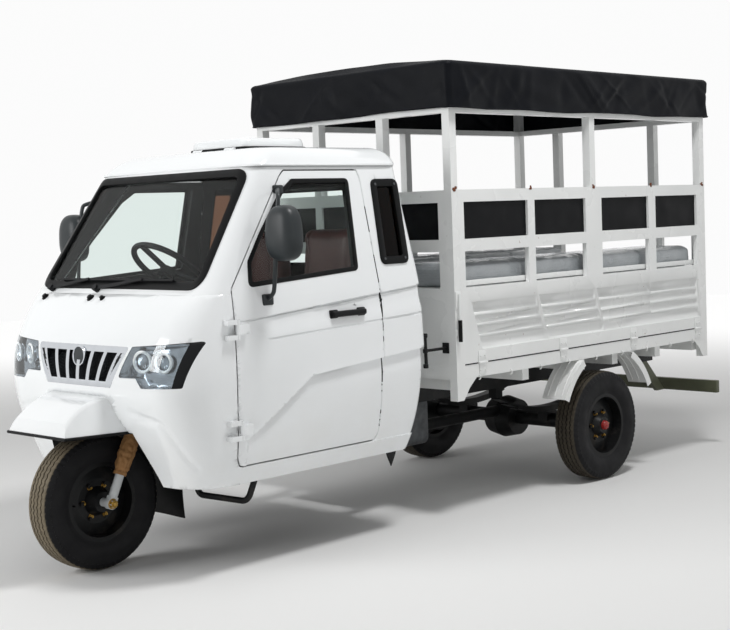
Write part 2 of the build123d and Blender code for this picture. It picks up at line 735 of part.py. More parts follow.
DASH_TOP = 1105.0
DASH_HALF = 540.0  # between the doors
DASH_FOOT = TOE_TOP + 15
DASH_CORNER = 18.0
DASH_LEDGE = 2320.0  # ahead of the rear axle, of its face
DASH_FRONT = 2640.0
DASH_CHIN = (70.0, 40.0)  # ahead and up, of its lower slope
DASH_BROW = (10.0, 50.0)  # ahead and down, of the face's upper edge
DASH_SHELF = 80.0  # from the face to the flat top
DOOR_ROOM = 20.0
with BuildPart() as dash_space:
    cab_loft(LOWER_ROWS, CAB_WALL + FIT, False)
    for side in (-1, 1):
        edges = sorted((side * DASH_HALF, side * WIDE))
        box((ahead(0), edges[0], 0), (ahead(DOOR_FRONT) + DOOR_ROOM, edges[1], BELT), Mode.SUBTRACT)

with BuildPart() as dashboard:
    dash_line = [
        (ahead(DASH_LEDGE), DASH_FOOT + DASH_CHIN[1]),
        (ahead(DASH_LEDGE) + DASH_CHIN[0], DASH_FOOT),
        (ahead(DASH_FRONT), DASH_FOOT),
        (ahead(DASH_FRONT), DASH_TOP),
        (ahead(DASH_LEDGE) + DASH_SHELF, DASH_TOP),
        (ahead(DASH_LEDGE) + DASH_BROW[0], DASH_TOP - DASH_BROW[1]),
    ]
    extrude(flat_face(upright(0), dash_line, DASH_CORNER), amount=WIDE, both=True)
    add(dash_space.part, mode=Mode.INTERSECT)
save(dashboard, "dashboard")

FULL_TURN = 360
WHEEL_TILT = 40.0  # degrees from level
WHEEL_RADIUS = 175.0
WHEEL_GRIP = 13.0
COLUMN_RADIUS = 22.0
COLUMN_LENGTH = 130.0
COLUMN_DROP = 45.0  # from the wheel's plane to the column's end
SPINDLE = 8.8  # radius
SPINDLE_LENGTH = 30.0
BOSS_RADIUS = 39.6
BOSS_DROP = 38.0
BOSS_CAP = 6.0
SPOKES = 3
SPOKE_WIDTH = 26.0
SPOKE_THICK = 14.0
SPOKE_DROP = 16.0
STEER_X = 2300.0  # ahead of the rear axle
STEER_Z = 1225.0
STEER_PLANE = Plane(
    (ahead(STEER_X), 0, STEER_Z),
    x_dir=(cos(radians(WHEEL_TILT)), 0, sin(radians(WHEEL_TILT))),
    z_dir=(-sin(radians(WHEEL_TILT)), 0, cos(radians(WHEEL_TILT))),
)

with BuildPart() as steering_column:
    with BuildSketch(STEER_PLANE.offset(-COLUMN_DROP)):
        Circle(COLUMN_RADIUS)
    extrude(amount=-COLUMN_LENGTH)
    add(dashboard.part, mode=Mode.SUBTRACT)
    with BuildSketch(STEER_PLANE.offset(-COLUMN_DROP)):
        Circle(SPINDLE)
    extrude(amount=SPINDLE_LENGTH)
save(steering_column, "steering_column")

with BuildPart() as steering_wheel:
    with BuildSketch(Plane(STEER_PLANE.origin, x_dir=STEER_PLANE.x_dir, z_dir=(0, 1, 0))):
        with Locations((WHEEL_RADIUS, 0)):
            Circle(WHEEL_GRIP)
    revolve(axis=Axis(STEER_PLANE.origin, STEER_PLANE.z_dir))
    with BuildSketch(STEER_PLANE.offset(-BOSS_DROP)):
        Circle(BOSS_RADIUS)
        Circle(SPINDLE + FIT, mode=Mode.SUBTRACT)
    extrude(amount=SPINDLE_LENGTH)
    with BuildSketch(STEER_PLANE.offset(SPINDLE_LENGTH - BOSS_DROP)):
        Circle(BOSS_RADIUS)
    extrude(amount=BOSS_CAP)
    with BuildSketch(STEER_PLANE.offset(-SPOKE_DROP)):
        for angle in range(0, FULL_TURN, FULL_TURN // SPOKES):
            with BuildLine():
                PolarLine((0, 0), WHEEL_RADIUS, angle)
            trace(line_width=SPOKE_WIDTH)
        Circle(COLUMN_RADIUS, mode=Mode.SUBTRACT)
    extrude(amount=SPOKE_THICK)
save(steering_wheel, "steering_wheel")

SEAT_FOOT = FLOOR_TOP
SEAT_TOP = 900.0
SEAT_BACK_TOP = 1400.0
SEAT_HALF = 235.0
SEAT_OFFSET = 262.0
SEAT_REAR = 1470.0
SEAT_FRONT = 1990.0
SEAT_TUCK = 40.0  # that its foot stands back
SEAT_PAD = 150.0  # from the back's rear to the cushion
SEAT_DIP = 20.0  # that the cushion falls to the back
SEAT_HEAD = 85.0  # thickness of the back's top
SEAT_CORNER = 20.0
SEAT_LINE = [
    (ahead(SEAT_REAR), SEAT_FOOT + FIT),
    (ahead(SEAT_FRONT) - SEAT_TUCK, SEAT_FOOT + FIT),
    (ahead(SEAT_FRONT), SEAT_TOP),
    (ahead(SEAT_REAR) + SEAT_PAD, SEAT_TOP - SEAT_DIP),
    (ahead(SEAT_REAR) + SEAT_HEAD, SEAT_BACK_TOP),
    (ahead(SEAT_REAR), SEAT_BACK_TOP),
]
with BuildPart() as seats:
    for across in (-SEAT_OFFSET, SEAT_OFFSET):
        extrude(flat_face(upright(across), SEAT_LINE, SEAT_CORNER), amount=SEAT_HALF, both=True)
save(seats, "seats")

# Door fittings: mirror on a tubular arm, and a pull handle

MIRROR_X = 2290.0
MIRROR_OUT = 735.0
MIRROR_HALF_W = 85.0
MIRROR_HALF_H = 118.0
MIRROR_THICK = 55.0
MIRROR_Z = BELT + 228
MIRROR_BACK = 30.0  # from its middle to the glass
MIRROR_TAPER = 8.0  # degrees
MIRROR_CORNER = 68.0
ARM_RADIUS = 9.0
ARM_BEND = 24.0
ARM_AHEAD = 20.0  # of the mirror's middle, at the foot
ARM_LEAN = 40.0  # that its top stands back
ARM_OUT = 45.0  # that it stands in from the mirror's middle
ARM_RISE = 40.0  # from its foot to the first bend
ARM_DROP = 20.0  # from its head to the last bend
ARM_SEAT = 4.0  # off the skin
FOOT_PAD = 24.0  # half-size of the lower bracket
HEAD_PAD = 13.0  # half-size of the upper bracket
PAD_SINK = 60.0  # cut off at the skin
PAD_OUT = 12.0
ARM_FOOT_Z = BELT - 35
ARM_HEAD_Z = GUTTER - 105
ARM_HEAD_X = 2158.0
HANDLE_X = 1864.0
HANDLE_Z = 1018.0
HANDLE_LENGTH = 200.0
HANDLE_HEIGHT = 26.0
HANDLE_OUT = 34.0
HANDLE_SINK = 60.0  # cut off at the skin
HANDLE_EDGE = 10.0  # radius
HANDLE_FOOT = 35.0  # length of each foot
HANDLE_WALL = 14.0  # thickness of the grip


def skin_half(height):
    """Half-width of the cab's straight side at a height between the belt and the gutter."""
    share = (height - BELT) / (GUTTER - BELT)
    return UPPER_ROWS[0].half + share * (UPPER_ROWS[1].half - UPPER_ROWS[0].half)


with BuildPart() as mirror_left:
    arm_x = ahead(MIRROR_X) + ARM_AHEAD
    foot = (arm_x, CAB_HALF + ARM_SEAT, ARM_FOOT_Z)
    head = (ahead(ARM_HEAD_X), skin_half(ARM_HEAD_Z) + ARM_SEAT, ARM_HEAD_Z)
    with BuildLine() as arm_path:
        FilletPolyline(
            foot,
            (arm_x, MIRROR_OUT - ARM_OUT, ARM_FOOT_Z + ARM_RISE),
            (arm_x - ARM_LEAN, MIRROR_OUT - ARM_OUT, ARM_HEAD_Z - ARM_DROP),
            head,
            radius=ARM_BEND,
        )
    with BuildSketch(Plane(origin=arm_path.line @ 0, z_dir=arm_path.line % 0)):
        Circle(ARM_RADIUS)
    sweep(path=arm_path.line)
    for at, size in ((foot, FOOT_PAD), (head, HEAD_PAD)):
        box(
            (at[0] - size, at[1] - PAD_SINK, at[2] - size),
            (at[0] + size, at[1] + PAD_OUT, at[2] + size),
        )
    with BuildSketch(Plane.YZ.offset(ahead(MIRROR_X) - MIRROR_BACK)):
        with Locations((MIRROR_OUT, MIRROR_Z)):
            RectangleRounded(2 * MIRROR_HALF_W, 2 * MIRROR_HALF_H, MIRROR_CORNER)
    extrude(amount=MIRROR_THICK, taper=MIRROR_TAPER)
    add(cab_block.part, mode=Mode.SUBTRACT)
save(mirror_left, "mirror_left")

with BuildPart() as handle_left:
    handle_top = HANDLE_Z + HANDLE_HEIGHT
    box(
        (ahead(HANDLE_X) - HANDLE_LENGTH / 2, CAB_HALF - HANDLE_SINK, HANDLE_Z - HANDLE_HEIGHT / 2),
        (ahead(HANDLE_X) + HANDLE_LENGTH / 2, CAB_HALF + HANDLE_OUT, HANDLE_Z + HANDLE_HEIGHT / 2),
    )
    fillet(handle_left.faces().sort_by(Axis.Y)[-1].edges(), HANDLE_EDGE)
    box(
        (ahead(HANDLE_X) - HANDLE_LENGTH / 2 + HANDLE_FOOT, CAB_HALF - HANDLE_SINK, HANDLE_Z - HANDLE_HEIGHT),
        (ahead(HANDLE_X) + HANDLE_LENGTH / 2 - HANDLE_FOOT, CAB_HALF + HANDLE_OUT - HANDLE_WALL, handle_top),
        Mode.SUBTRACT,
    )
    add(cab_block.part, mode=Mode.SUBTRACT)
save(handle_left, "handle_left")

for piece, name in ((mirror_left, "mirror_right"), (handle_left, "handle_right")):
    with BuildPart() as mirrored:
        add(piece.part.mirror(Plane.XZ))
    save(mirrored, name)

# Wheels: each profile is drawn as (radius, across) and turned about the axle

BEAD = RIM_RADIUS + FIT
BEAD_RISE = 20.0  # from the rim to where the wall starts to bulge
WALL_RISE = 62.0  # from the rim to the widest place
SHOULDER_DROP = 24.0  # below the tread
SHOULDER_IN = 6.0
TREAD_DROP = 4.0  # of the tread's edges below its middle
TREAD_IN = 16.0
TYRE_PROFILE = [
    (BEAD, -RIM_WIDTH / 2),
    (RIM_RADIUS + BEAD_RISE, -RIM_WIDTH / 2),
    (RIM_RADIUS + WALL_RISE, -TYRE_WIDTH / 2),
    (TYRE_RADIUS - SHOULDER_DROP, -TYRE_WIDTH / 2 + SHOULDER_IN),
    (TYRE_RADIUS - TREAD_DROP, -TYRE_WIDTH / 2 + TREAD_IN),
    (TYRE_RADIUS, 0),
    (TYRE_RADIUS - TREAD_DROP, TYRE_WIDTH / 2 - TREAD_IN),
    (TYRE_RADIUS - SHOULDER_DROP, TYRE_WIDTH / 2 - SHOULDER_IN),
    (RIM_RADIUS + WALL_RISE, TYRE_WIDTH / 2),
    (RIM_RADIUS + BEAD_RISE, RIM_WIDTH / 2),
    (BEAD, RIM_WIDTH / 2),
]
RIM_LIP = RIM_WIDTH / 2 + FIT
RIM_PROFILE = [
    (RIM_RADIUS + RIM_FLANGE, -RIM_LIP - RIM_WALL),
    (RIM_RADIUS + RIM_FLANGE, -RIM_LIP),
    (RIM_RADIUS, -RIM_LIP),
    (RIM_RADIUS, RIM_LIP),
    (RIM_RADIUS + RIM_FLANGE, RIM_LIP),
    (RIM_RADIUS + RIM_FLANGE, RIM_LIP + RIM_WALL),
    (RIM_RADIUS - RIM_WALL, RIM_LIP + RIM_WALL),
    (RIM_RADIUS - RIM_WALL, -RIM_LIP - RIM_WALL),
]
REAR_BORE = 20.0 + FIT
DISC_DISH = 14.0  # that the disc's rim stands in
DISC_FLAT = 32.0  # width of the disc's flat
DISC_LAP = 4.0  # into the hub
HUB_STEP = 8.0  # past the disc
HUB_NOSE = 42.0  # radius of the hub's outer end
STUD_OUT = 16.0  # outside the hub
FRONT_BORE = AXLE_RADIUS + FIT


def turned(profile, centre, flip=1.0):
    """Revolves a (radius, across) profile about the axle through centre, in the active part."""
    half_plane = Plane(centre, x_dir=(1, 0, 0), z_dir=(0, 0, 1))
    face = flat_face(half_plane, [(radius, flip * across) for radius, across in profile])
    revolve(face, axis=Axis(centre, (0, 1, 0)))


def wheel_rim(centre, flip, bore, disc_at, hub_half):
    """A pressed steel wheel: barrel, disc, hub and its ring of nuts."""
    disc = [
        (RIM_RADIUS - RIM_WALL, disc_at - DISC_DISH),
        (RIM_RADIUS - RIM_WALL, disc_at - DISC_DISH + DISC_THICK),
        (HUB_RADIUS + DISC_FLAT, disc_at + DISC_THICK),
        (HUB_RADIUS - DISC_LAP, disc_at + DISC_THICK),
        (HUB_RADIUS - DISC_LAP, disc_at),
        (HUB_RADIUS + DISC_FLAT, disc_at),
    ]
    hub = [
        (bore, -hub_half),
        (HUB_RADIUS, -hub_half),
        (HUB_RADIUS, disc_at + HUB_STEP),
        (HUB_NOSE, hub_half),
        (bore, hub_half),
    ]
    turned(RIM_PROFILE, centre, flip)
    turned(disc, centre, flip)
    turned(hub, centre, flip)
    face = Plane(
        (centre[0], centre[1] + flip * (disc_at + DISC_THICK), centre[2]), x_dir=(1, 0, 0), z_dir=(0, flip, 0)
    )
    with BuildSketch(face) as nuts:
        with PolarLocations(HUB_RADIUS + STUD_OUT, STUD_COUNT):
            RegularPolygon(NUT_RADIUS, 6)
    extrude(nuts.sketch, amount=NUT_HEIGHT)


# Each wheel, as (name, centre, outer side, bore, disc's place, half the hub's length)
WHEELS = [
    ("front", (FRONT_AXLE_X, 0, TYRE_RADIUS), 1.0, FRONT_BORE, 12.0, 62.0),
    ("rear_left", (REAR_AXLE_X, REAR_TRACK / 2, TYRE_RADIUS), 1.0, REAR_BORE, 10.0, 50.0),
    ("rear_right", (REAR_AXLE_X, -REAR_TRACK / 2, TYRE_RADIUS), -1.0, REAR_BORE, 10.0, 50.0),
]
for name, centre, flip, bore, disc_at, hub_half in WHEELS:
    with BuildPart() as tyre:
        turned(TYRE_PROFILE, centre)
    save(tyre, f"{name}_tyre")
    with BuildPart() as rim:
        wheel_rim(centre, flip, bore, disc_at, hub_half)
    save(rim, f"{name}_rim")

# Front fork: stem, yoke, two legs and the axle between them

LEG_FOOT = 30.0
YOKE_WIDTH = 72.0
YOKE_REACH = 35.0  # past each leg's middle
YOKE_CORNER = 30.0
SPACER_WALL = 6.0
AXLE_NUT = 17.0  # radius
AXLE_NUT_THICK = 14.0
LUG_RADIUS = 24.0
LUG_HALF = 14.0
FRONT_HUB_HALF = WHEELS[0][5]
with BuildPart() as fork:
    with BuildSketch(steering_plane(YOKE_START)):
        RectangleRounded(YOKE_WIDTH, 2 * (FORK_HALF + YOKE_REACH), YOKE_CORNER)
    extrude(amount=YOKE_THICK)
    with BuildSketch(steering_plane(YOKE_START + YOKE_THICK)):
        Circle(STEM_RADIUS)
    extrude(amount=HEAD_START + HEAD_LENGTH + HEAD_CAP - YOKE_START - YOKE_THICK)
    with BuildSketch(steering_plane(YOKE_START + YOKE_THICK)):
        Circle(STEM_RADIUS + HEAD_WALL)
    extrude(amount=HEAD_START - YOKE_START - YOKE_THICK - FIT)
    with BuildSketch(steering_plane(HEAD_START + HEAD_LENGTH + FIT)):
        Circle(STEM_RADIUS + HEAD_WALL)
    extrude(amount=HEAD_CAP - FIT)
    for side in (-1, 1):
        with BuildSketch(steering_plane(LEG_FOOT)):
            with Locations((0, side * FORK_HALF)):
                Circle(LEG_RADIUS)
        extrude(amount=YOKE_START - LEG_FOOT)
        with BuildSketch(Plane.XZ.offset(-side * FORK_HALF - LUG_HALF)):
            with Locations((FRONT_AXLE_X, TYRE_RADIUS)):
                Circle(LUG_RADIUS)
        extrude(amount=2 * LUG_HALF)
        with BuildSketch(steering_plane(0)):
            with Locations((0, side * FORK_HALF)):
                Rectangle(2 * LEG_RADIUS, 2 * LUG_HALF)
        extrude(amount=LEG_FOOT)
        spacer_start = FRONT_HUB_HALF + FIT
        with BuildSketch(Plane.XZ.offset(-side * spacer_start)):
            with Locations((FRONT_AXLE_X, TYRE_RADIUS)):
                Circle(AXLE_RADIUS + SPACER_WALL)
        extrude(amount=-side * (FORK_HALF - spacer_start))
        with BuildSketch(Plane.XZ.offset(-side * (FORK_HALF + LUG_HALF))):
            with Locations((FRONT_AXLE_X, TYRE_RADIUS)):
                RegularPolygon(AXLE_NUT, 6)
        extrude(amount=-side * AXLE_NUT_THICK)
    with BuildSketch(Plane.XZ):
        with Locations((FRONT_AXLE_X, TYRE_RADIUS)):
            Circle(AXLE_RADIUS)
    extrude(amount=FORK_HALF + LUG_HALF, both=True)
save(fork, "fork")

COVER_START = 120.0
with BuildPart() as fork_covers:
    for side in (-1, 1):
        with BuildSketch(steering_plane(COVER_START)):
            with Locations((0, side * FORK_HALF)):
                Circle(COVER_RADIUS)
                Circle(LEG_RADIUS + FIT, mode=Mode.SUBTRACT)
        extrude(amount=YOKE_START - FIT - COVER_START)
save(fork_covers, "fork_covers")

# Sizes of the rear axle and its springs

AXLE_TUBE = 38.0
DIFF_RADIUS = 115.0
DIFF_HALF = 85.0
DRUM_RADIUS = 118.0
DRUM_HALF = 22.0
HUB_INNER = REAR_TRACK / 2 - WHEELS[1][5]
DRUM_MIDDLE = HUB_INNER - MOVING_GAP - DRUM_HALF
SPRING_Y = RAIL_HALF
SPRING_WIDTH = 60.0
LEAF_THICK = 8.0
LEAF_LENGTHS = [900.0, 740.0, 580.0, 420.0]
SPRING_SAG = 95.0
SPRING_SEAT = TYRE_RADIUS + AXLE_TUBE + 12

LEAF_RADIUS = (LEAF_LENGTHS[0] ** 2 / 4 + SPRING_SAG**2) / (2 * SPRING_SAG)
LEAF_HALF_ANGLE = LEAF_LENGTHS[0] / 2 / LEAF_RADIUS
LEAF_CENTRE_Z = SPRING_SEAT + FIT + len(LEAF_LENGTHS) * LEAF_THICK + LEAF_RADIUS
LEAF_END_X = LEAF_RADIUS * sin(LEAF_HALF_ANGLE)
LEAF_END_Z = LEAF_CENTRE_Z - LEAF_RADIUS * cos(LEAF_HALF_ANGLE)
HANGER = 50.0

# Ladder frame: kicked-up rails, cross members and the steering head

FRAME_FRONT = 2446.0
FRAME_REAR = -1000.0
KICK_FRONT = 1330.0
KICK_REAR = 1130.0
CROSS_INSET = 10.0  # of a cross member's edges from the rail's
CROSS_MEMBERS = [2410.0, 1990.0, 1560.0, 1000.0, 560.0, -500.0, -960.0]
CROSS_WIDTH = 36.0
NECK_HALF = 26.0

KICK_SKEW = 20.0  # that the rails' foot kicks up behind their top
RAIL_LINE = [
    (ahead(FRAME_REAR), REAR_RAIL_TOP),
    (ahead(KICK_REAR), REAR_RAIL_TOP),
    (ahead(KICK_FRONT), FRONT_RAIL_TOP),
    (ahead(FRAME_FRONT), FRONT_RAIL_TOP),
    (ahead(FRAME_FRONT), FRONT_RAIL_TOP - RAIL_HEIGHT),
    (ahead(KICK_FRONT) - KICK_SKEW, FRONT_RAIL_TOP - RAIL_HEIGHT),
    (ahead(KICK_REAR) - KICK_SKEW, REAR_RAIL_TOP - RAIL_HEIGHT),
    (ahead(FRAME_REAR), REAR_RAIL_TOP - RAIL_HEIGHT),
]
BORE_PAST = 40.0  # past the head's ends
NECK_SINK = 20.0  # into the front cross member
NECK_FOOT = 2408.0  # ahead of the rear axle
NECK_BACK = (2432.0, 700.0)  # its upper rear corner, as ahead and height
HEAD_INSET = 10.0  # from the head's ends
NECK_LINE = [
    (ahead(NECK_FOOT), FRONT_RAIL_TOP - NECK_SINK),
    (ahead(FRAME_FRONT) - HEAD_INSET, FRONT_RAIL_TOP - NECK_SINK),
    along(HEAD_START + HEAD_INSET, -STEM_RADIUS - HEAD_WALL),
    along(HEAD_START + 2 * HEAD_INSET),
    along(HEAD_START + HEAD_LENGTH - HEAD_INSET),
    (ahead(NECK_BACK[0]), NECK_BACK[1]),
]

with BuildPart() as frame:
    rail_foot = REAR_RAIL_TOP - RAIL_HEIGHT
    for side in (-1, 1):
        extrude(flat_face(upright(side * RAIL_HALF), RAIL_LINE), amount=RAIL_WIDTH / 2, both=True)
    for place in CROSS_MEMBERS:
        top = REAR_RAIL_TOP if place < KICK_REAR else FRONT_RAIL_TOP
        box(
            (ahead(place) - CROSS_WIDTH / 2, -RAIL_HALF, top - RAIL_HEIGHT + CROSS_INSET),
            (ahead(place) + CROSS_WIDTH / 2, RAIL_HALF, top - CROSS_INSET),
        )
    for side in (-1, 1):
        for end in (-LEAF_END_X, LEAF_END_X):
            box(
                (REAR_AXLE_X + end - HANGER / 2, side * RAIL_HALF - RAIL_WIDTH / 2, LEAF_END_Z + FIT),
                (REAR_AXLE_X + end + HANGER / 2, side * RAIL_HALF + RAIL_WIDTH / 2, rail_foot),
            )
    extrude(flat_face(upright(0), NECK_LINE), amount=NECK_HALF, both=True)
    with BuildSketch(steering_plane(HEAD_START)):
        Circle(STEM_RADIUS + HEAD_WALL)
    extrude(amount=HEAD_LENGTH)
    with BuildSketch(steering_plane(HEAD_START - BORE_PAST)):
        Circle(STEM_RADIUS + FIT)
    extrude(amount=HEAD_LENGTH + 2 * BORE_PAST, mode=Mode.SUBTRACT)
save(frame, "frame")

# Rear axle, springs, engine and drive shaft

DIFF_TAPER = 12.0  # degrees
SPRING_PAD = 45.0  # half-length of a spring's seat
AXLE_END_IN = 6.0  # from a hub's outer end
DOWN = 270.0  # degrees

with BuildPart() as rear_axle:
    with BuildSketch(Plane.XZ):
        with Locations((REAR_AXLE_X, TYRE_RADIUS)):
            Circle(AXLE_TUBE)
    extrude(amount=DRUM_MIDDLE, both=True)
    with BuildSketch(Plane.XZ):
        with Locations((REAR_AXLE_X, TYRE_RADIUS)):
            Circle(DIFF_RADIUS)
    extrude(amount=DIFF_HALF, both=True, taper=DIFF_TAPER)
    for side in (-1, 1):
        with BuildSketch(Plane.XZ.offset(-side * (DRUM_MIDDLE - DRUM_HALF))):
            with Locations((REAR_AXLE_X, TYRE_RADIUS)):
                Circle(DRUM_RADIUS)
        extrude(amount=-side * 2 * DRUM_HALF)
        with BuildSketch(Plane.XZ.offset(-side * DRUM_MIDDLE)):
            with Locations((REAR_AXLE_X, TYRE_RADIUS)):
                Circle(REAR_BORE - FIT)
        extrude(amount=-side * (REAR_TRACK / 2 + WHEELS[1][5] - AXLE_END_IN - DRUM_MIDDLE))
        box(
            (REAR_AXLE_X - SPRING_PAD, side * SPRING_Y - SPRING_WIDTH / 2, TYRE_RADIUS),
            (REAR_AXLE_X + SPRING_PAD, side * SPRING_Y + SPRING_WIDTH / 2, SPRING_SEAT),
        )
save(rear_axle, "rear_axle")

with BuildPart() as leaf_springs:
    for side in (-1, 1):
        for index, length in enumerate(LEAF_LENGTHS):
            half_angle = degrees(length / 2 / LEAF_RADIUS)
            extrude(
                arc_band(
                    upright(side * SPRING_Y),
                    (REAR_AXLE_X, LEAF_CENTRE_Z),
                    LEAF_RADIUS + index * LEAF_THICK,
                    LEAF_RADIUS + (index + 1) * LEAF_THICK,
                    DOWN - half_angle,
                    DOWN + half_angle,
                ),
                amount=SPRING_WIDTH / 2,
                both=True,
            )
save(leaf_springs, "leaf_springs")

ENGINE_FRONT = 1300.0
ENGINE_LENGTH = 430.0
ENGINE_HALF = 190.0
ENGINE_FOOT = 270.0
ENGINE_TOP = REAR_RAIL_TOP - RAIL_HEIGHT + CROSS_INSET - FIT
ENGINE_EDGE = 40.0  # radius
SHAFT_RISE = 40.0  # above the axle
SHAFT_RADIUS = 30.0
with BuildPart() as engine:
    box(
        (ahead(ENGINE_FRONT - ENGINE_LENGTH), -ENGINE_HALF, ENGINE_FOOT),
        (ahead(ENGINE_FRONT), ENGINE_HALF, ENGINE_TOP),
    )
    fillet(engine.edges().filter_by(Axis.X), ENGINE_EDGE)
save(engine, "engine")

with BuildPart() as diff_room:
    with BuildSketch(Plane.XZ):
        with Locations((REAR_AXLE_X, TYRE_RADIUS)):
            Circle(DIFF_RADIUS + FIT)
    extrude(amount=DIFF_HALF, both=True)

with BuildPart() as driveshaft:
    shaft_start = REAR_AXLE_X
    with BuildSketch(Plane.YZ.offset(shaft_start)):
        with Locations((0, TYRE_RADIUS + SHAFT_RISE)):
            Circle(SHAFT_RADIUS)
    extrude(amount=ahead(ENGINE_FRONT - ENGINE_LENGTH) - FIT - shaft_start)
    add(diff_room.part, mode=Mode.SUBTRACT)
save(driveshaft, "driveshaft")

# Load bed: floor, posts, sides, lattice and benches

GATE_FOOT = BED_FLOOR + MOVING_GAP + 10
GATE_HINGE_X = ahead(BED_REAR) - 14
GATE_HINGE_Z = GATE_FOOT - 4
GATE_HINGE_Y = 200.0


def gate_round(radius, low, high, mode):
    """A round bar on the tailgate's hinge line between two places across."""
    cross_round(GATE_HINGE_X, GATE_HINGE_Z, radius, low, high, mode)


AISLE_HALF = 240.0
AISLE_RISE = 3.0  # the aisle's chequer plate lies on the floor
AISLE_ENDS = 70.0  # clear of the headboard and the tailgate
BED_CROSS = [1080.0, 620.0, 150.0, -150.0, -560.0, -940.0]
with BuildPart() as bed_floor:
    box((ahead(BED_REAR), -BED_HALF, BED_SILL), (ahead(BED_FRONT), BED_HALF, BED_FLOOR))
    box(
        (ahead(BED_REAR) + SILL_WIDTH, -BED_HALF + SILL_WIDTH, BED_SILL),
        (ahead(BED_FRONT) - SILL_WIDTH, BED_HALF - SILL_WIDTH, BED_FLOOR - PLATE),
        Mode.SUBTRACT,
    )
    for side_x in (ahead(BED_REAR), ahead(BED_FRONT) - POST):
        for side_y in (-BED_HALF, BED_HALF - POST):
            box((side_x, side_y, BED_SILL), (side_x + POST, side_y + POST, BED_FLOOR), Mode.SUBTRACT)
    for across in (-GATE_HINGE_Y, GATE_HINGE_Y):
        for low in (across - KNUCKLE / 2 - FIT - LUG, across + KNUCKLE / 2 + FIT):
            box((GATE_HINGE_X - 8, low, BED_SILL), (ahead(BED_REAR), low + LUG, BED_FLOOR - 2))
            box((GATE_HINGE_X - 8, low, BED_SILL), (GATE_HINGE_X + 8, low + LUG, GATE_HINGE_Z))
            gate_round(KNUCKLE_RADIUS, low, low + LUG, Mode.ADD)
        gate_round(PIN_RADIUS, across - KNUCKLE / 2 - LUG, across + KNUCKLE / 2 + LUG, Mode.ADD)
    box(
        (ahead(BED_REAR) + AISLE_ENDS, -AISLE_HALF, BED_FLOOR - PLATE / 2),
        (ahead(BED_FRONT) - AISLE_ENDS, AISLE_HALF, BED_FLOOR + AISLE_RISE),
    )
save(bed_floor, "bed_floor")

with BuildPart() as bed_cross_members:
    for place in BED_CROSS:
        box(
            (ahead(place) - BED_CROSS_WIDTH / 2, -BED_HALF + SILL_WIDTH + FIT, REAR_RAIL_TOP + FIT),
            (ahead(place) + BED_CROSS_WIDTH / 2, BED_HALF - SILL_WIDTH - FIT, BED_FLOOR - PLATE - FIT),
        )
save(bed_cross_members, "bed_cross_members")

MID_POST_X = 65.0
FLARE = 95.0  # how far a corner post's foot reaches along the sill
FLARE_SHEET = 4.0
FLARE_NOTCH = 0.45  # share of the flare at the hollow of its edge
with BuildPart() as bed_posts:
    for side_x in (ahead(BED_REAR), ahead(BED_FRONT) - POST):
        for side_y in (-BED_HALF, BED_HALF - POST):
            box((side_x, side_y, POST_FOOT), (side_x + POST, side_y + POST, ROOF_RAIL))
    for inner_x, reach in ((ahead(BED_FRONT) - POST, -FLARE), (ahead(BED_REAR) + POST, FLARE)):
        flare = [
            (inner_x - reach * FLARE_NOTCH, POST_FOOT),
            (inner_x, POST_FOOT),
            (inner_x + reach * FLARE_NOTCH, BED_SILL - (BED_SILL - POST_FOOT) * FLARE_NOTCH),
            (inner_x + reach, BED_SILL - FIT),
            (inner_x - reach * FLARE_NOTCH, BED_SILL - FIT),
        ]
        for side_y in (-BED_HALF + FLARE_SHEET / 2, BED_HALF - FLARE_SHEET / 2):
            extrude(flat_face(upright(side_y), flare), amount=FLARE_SHEET / 2, both=True)
    for across in (-FRONT_POST_Y, FRONT_POST_Y):
        box(
            (ahead(BED_FRONT) - POST, across - POST / 2, TOP_RAIL_TOP + FIT),
            (ahead(BED_FRONT), across + POST / 2, EAVES_RAIL - FIT),
        )
    for across in (-REAR_POST_Y, REAR_POST_Y):
        box(
            (ahead(BED_REAR), across - POST / 2, BED_FLOOR + FIT),
            (ahead(BED_REAR) + POST, across + POST / 2, EAVES_RAIL - FIT),
        )
    for side_y in (-BED_HALF, BED_HALF - POST):
        box(
            (ahead(MID_POST_X) - POST / 2, side_y, TOP_RAIL_TOP + FIT),
            (ahead(MID_POST_X) + POST / 2, side_y + POST, EAVES_RAIL - FIT),
        )
save(bed_posts, "bed_posts")

SIDE_FRONT = BED_FRONT - POST - FIT
SIDE_REAR = BED_REAR + POST + FIT
# Bays between the side lattice's uprights, as (front, rear) shares of the bed's length from its front
BAYS = [(0.0382, 0.2566), (0.2816, 0.475), (0.5391, 0.7384), (0.7693, 0.9604)]
BAY_ENDS = [(BED_FRONT - front * BED_LENGTH, BED_FRONT - rear * BED_LENGTH) for front, rear in BAYS]
UPRIGHT_FRONTS = [SIDE_FRONT] + [rear for _, rear in BAY_ENDS]
UPRIGHT_REARS = [front for front, _ in BAY_ENDS] + [SIDE_REAR]
# Pressed pockets of the drop side, as (front, rear) shares at their top, and how far back they slant
POCKETS = [(0.0537, 0.2812, 90.0), (0.2889, 0.5032, 90.0), (0.5105, 0.7325, 90.0), (0.7398, 0.9577, 30.0)]
POCKET_FOOT = BED_FLOOR + 63
POCKET_TOP = SIDE_TOP - 66
POCKET_DEPTH = 12.0
POCKET_WALL = 35.0  # degrees that a pocket's walls lean
POCKET_SPREAD = 20.0  # how much wider a pocket is at its foot
RIDGES = [0.27, 0.5, 0.73]  # shares of a pocket's height
RIDGE_HEIGHT = 16.0
RIDGE_RISE = 6.0

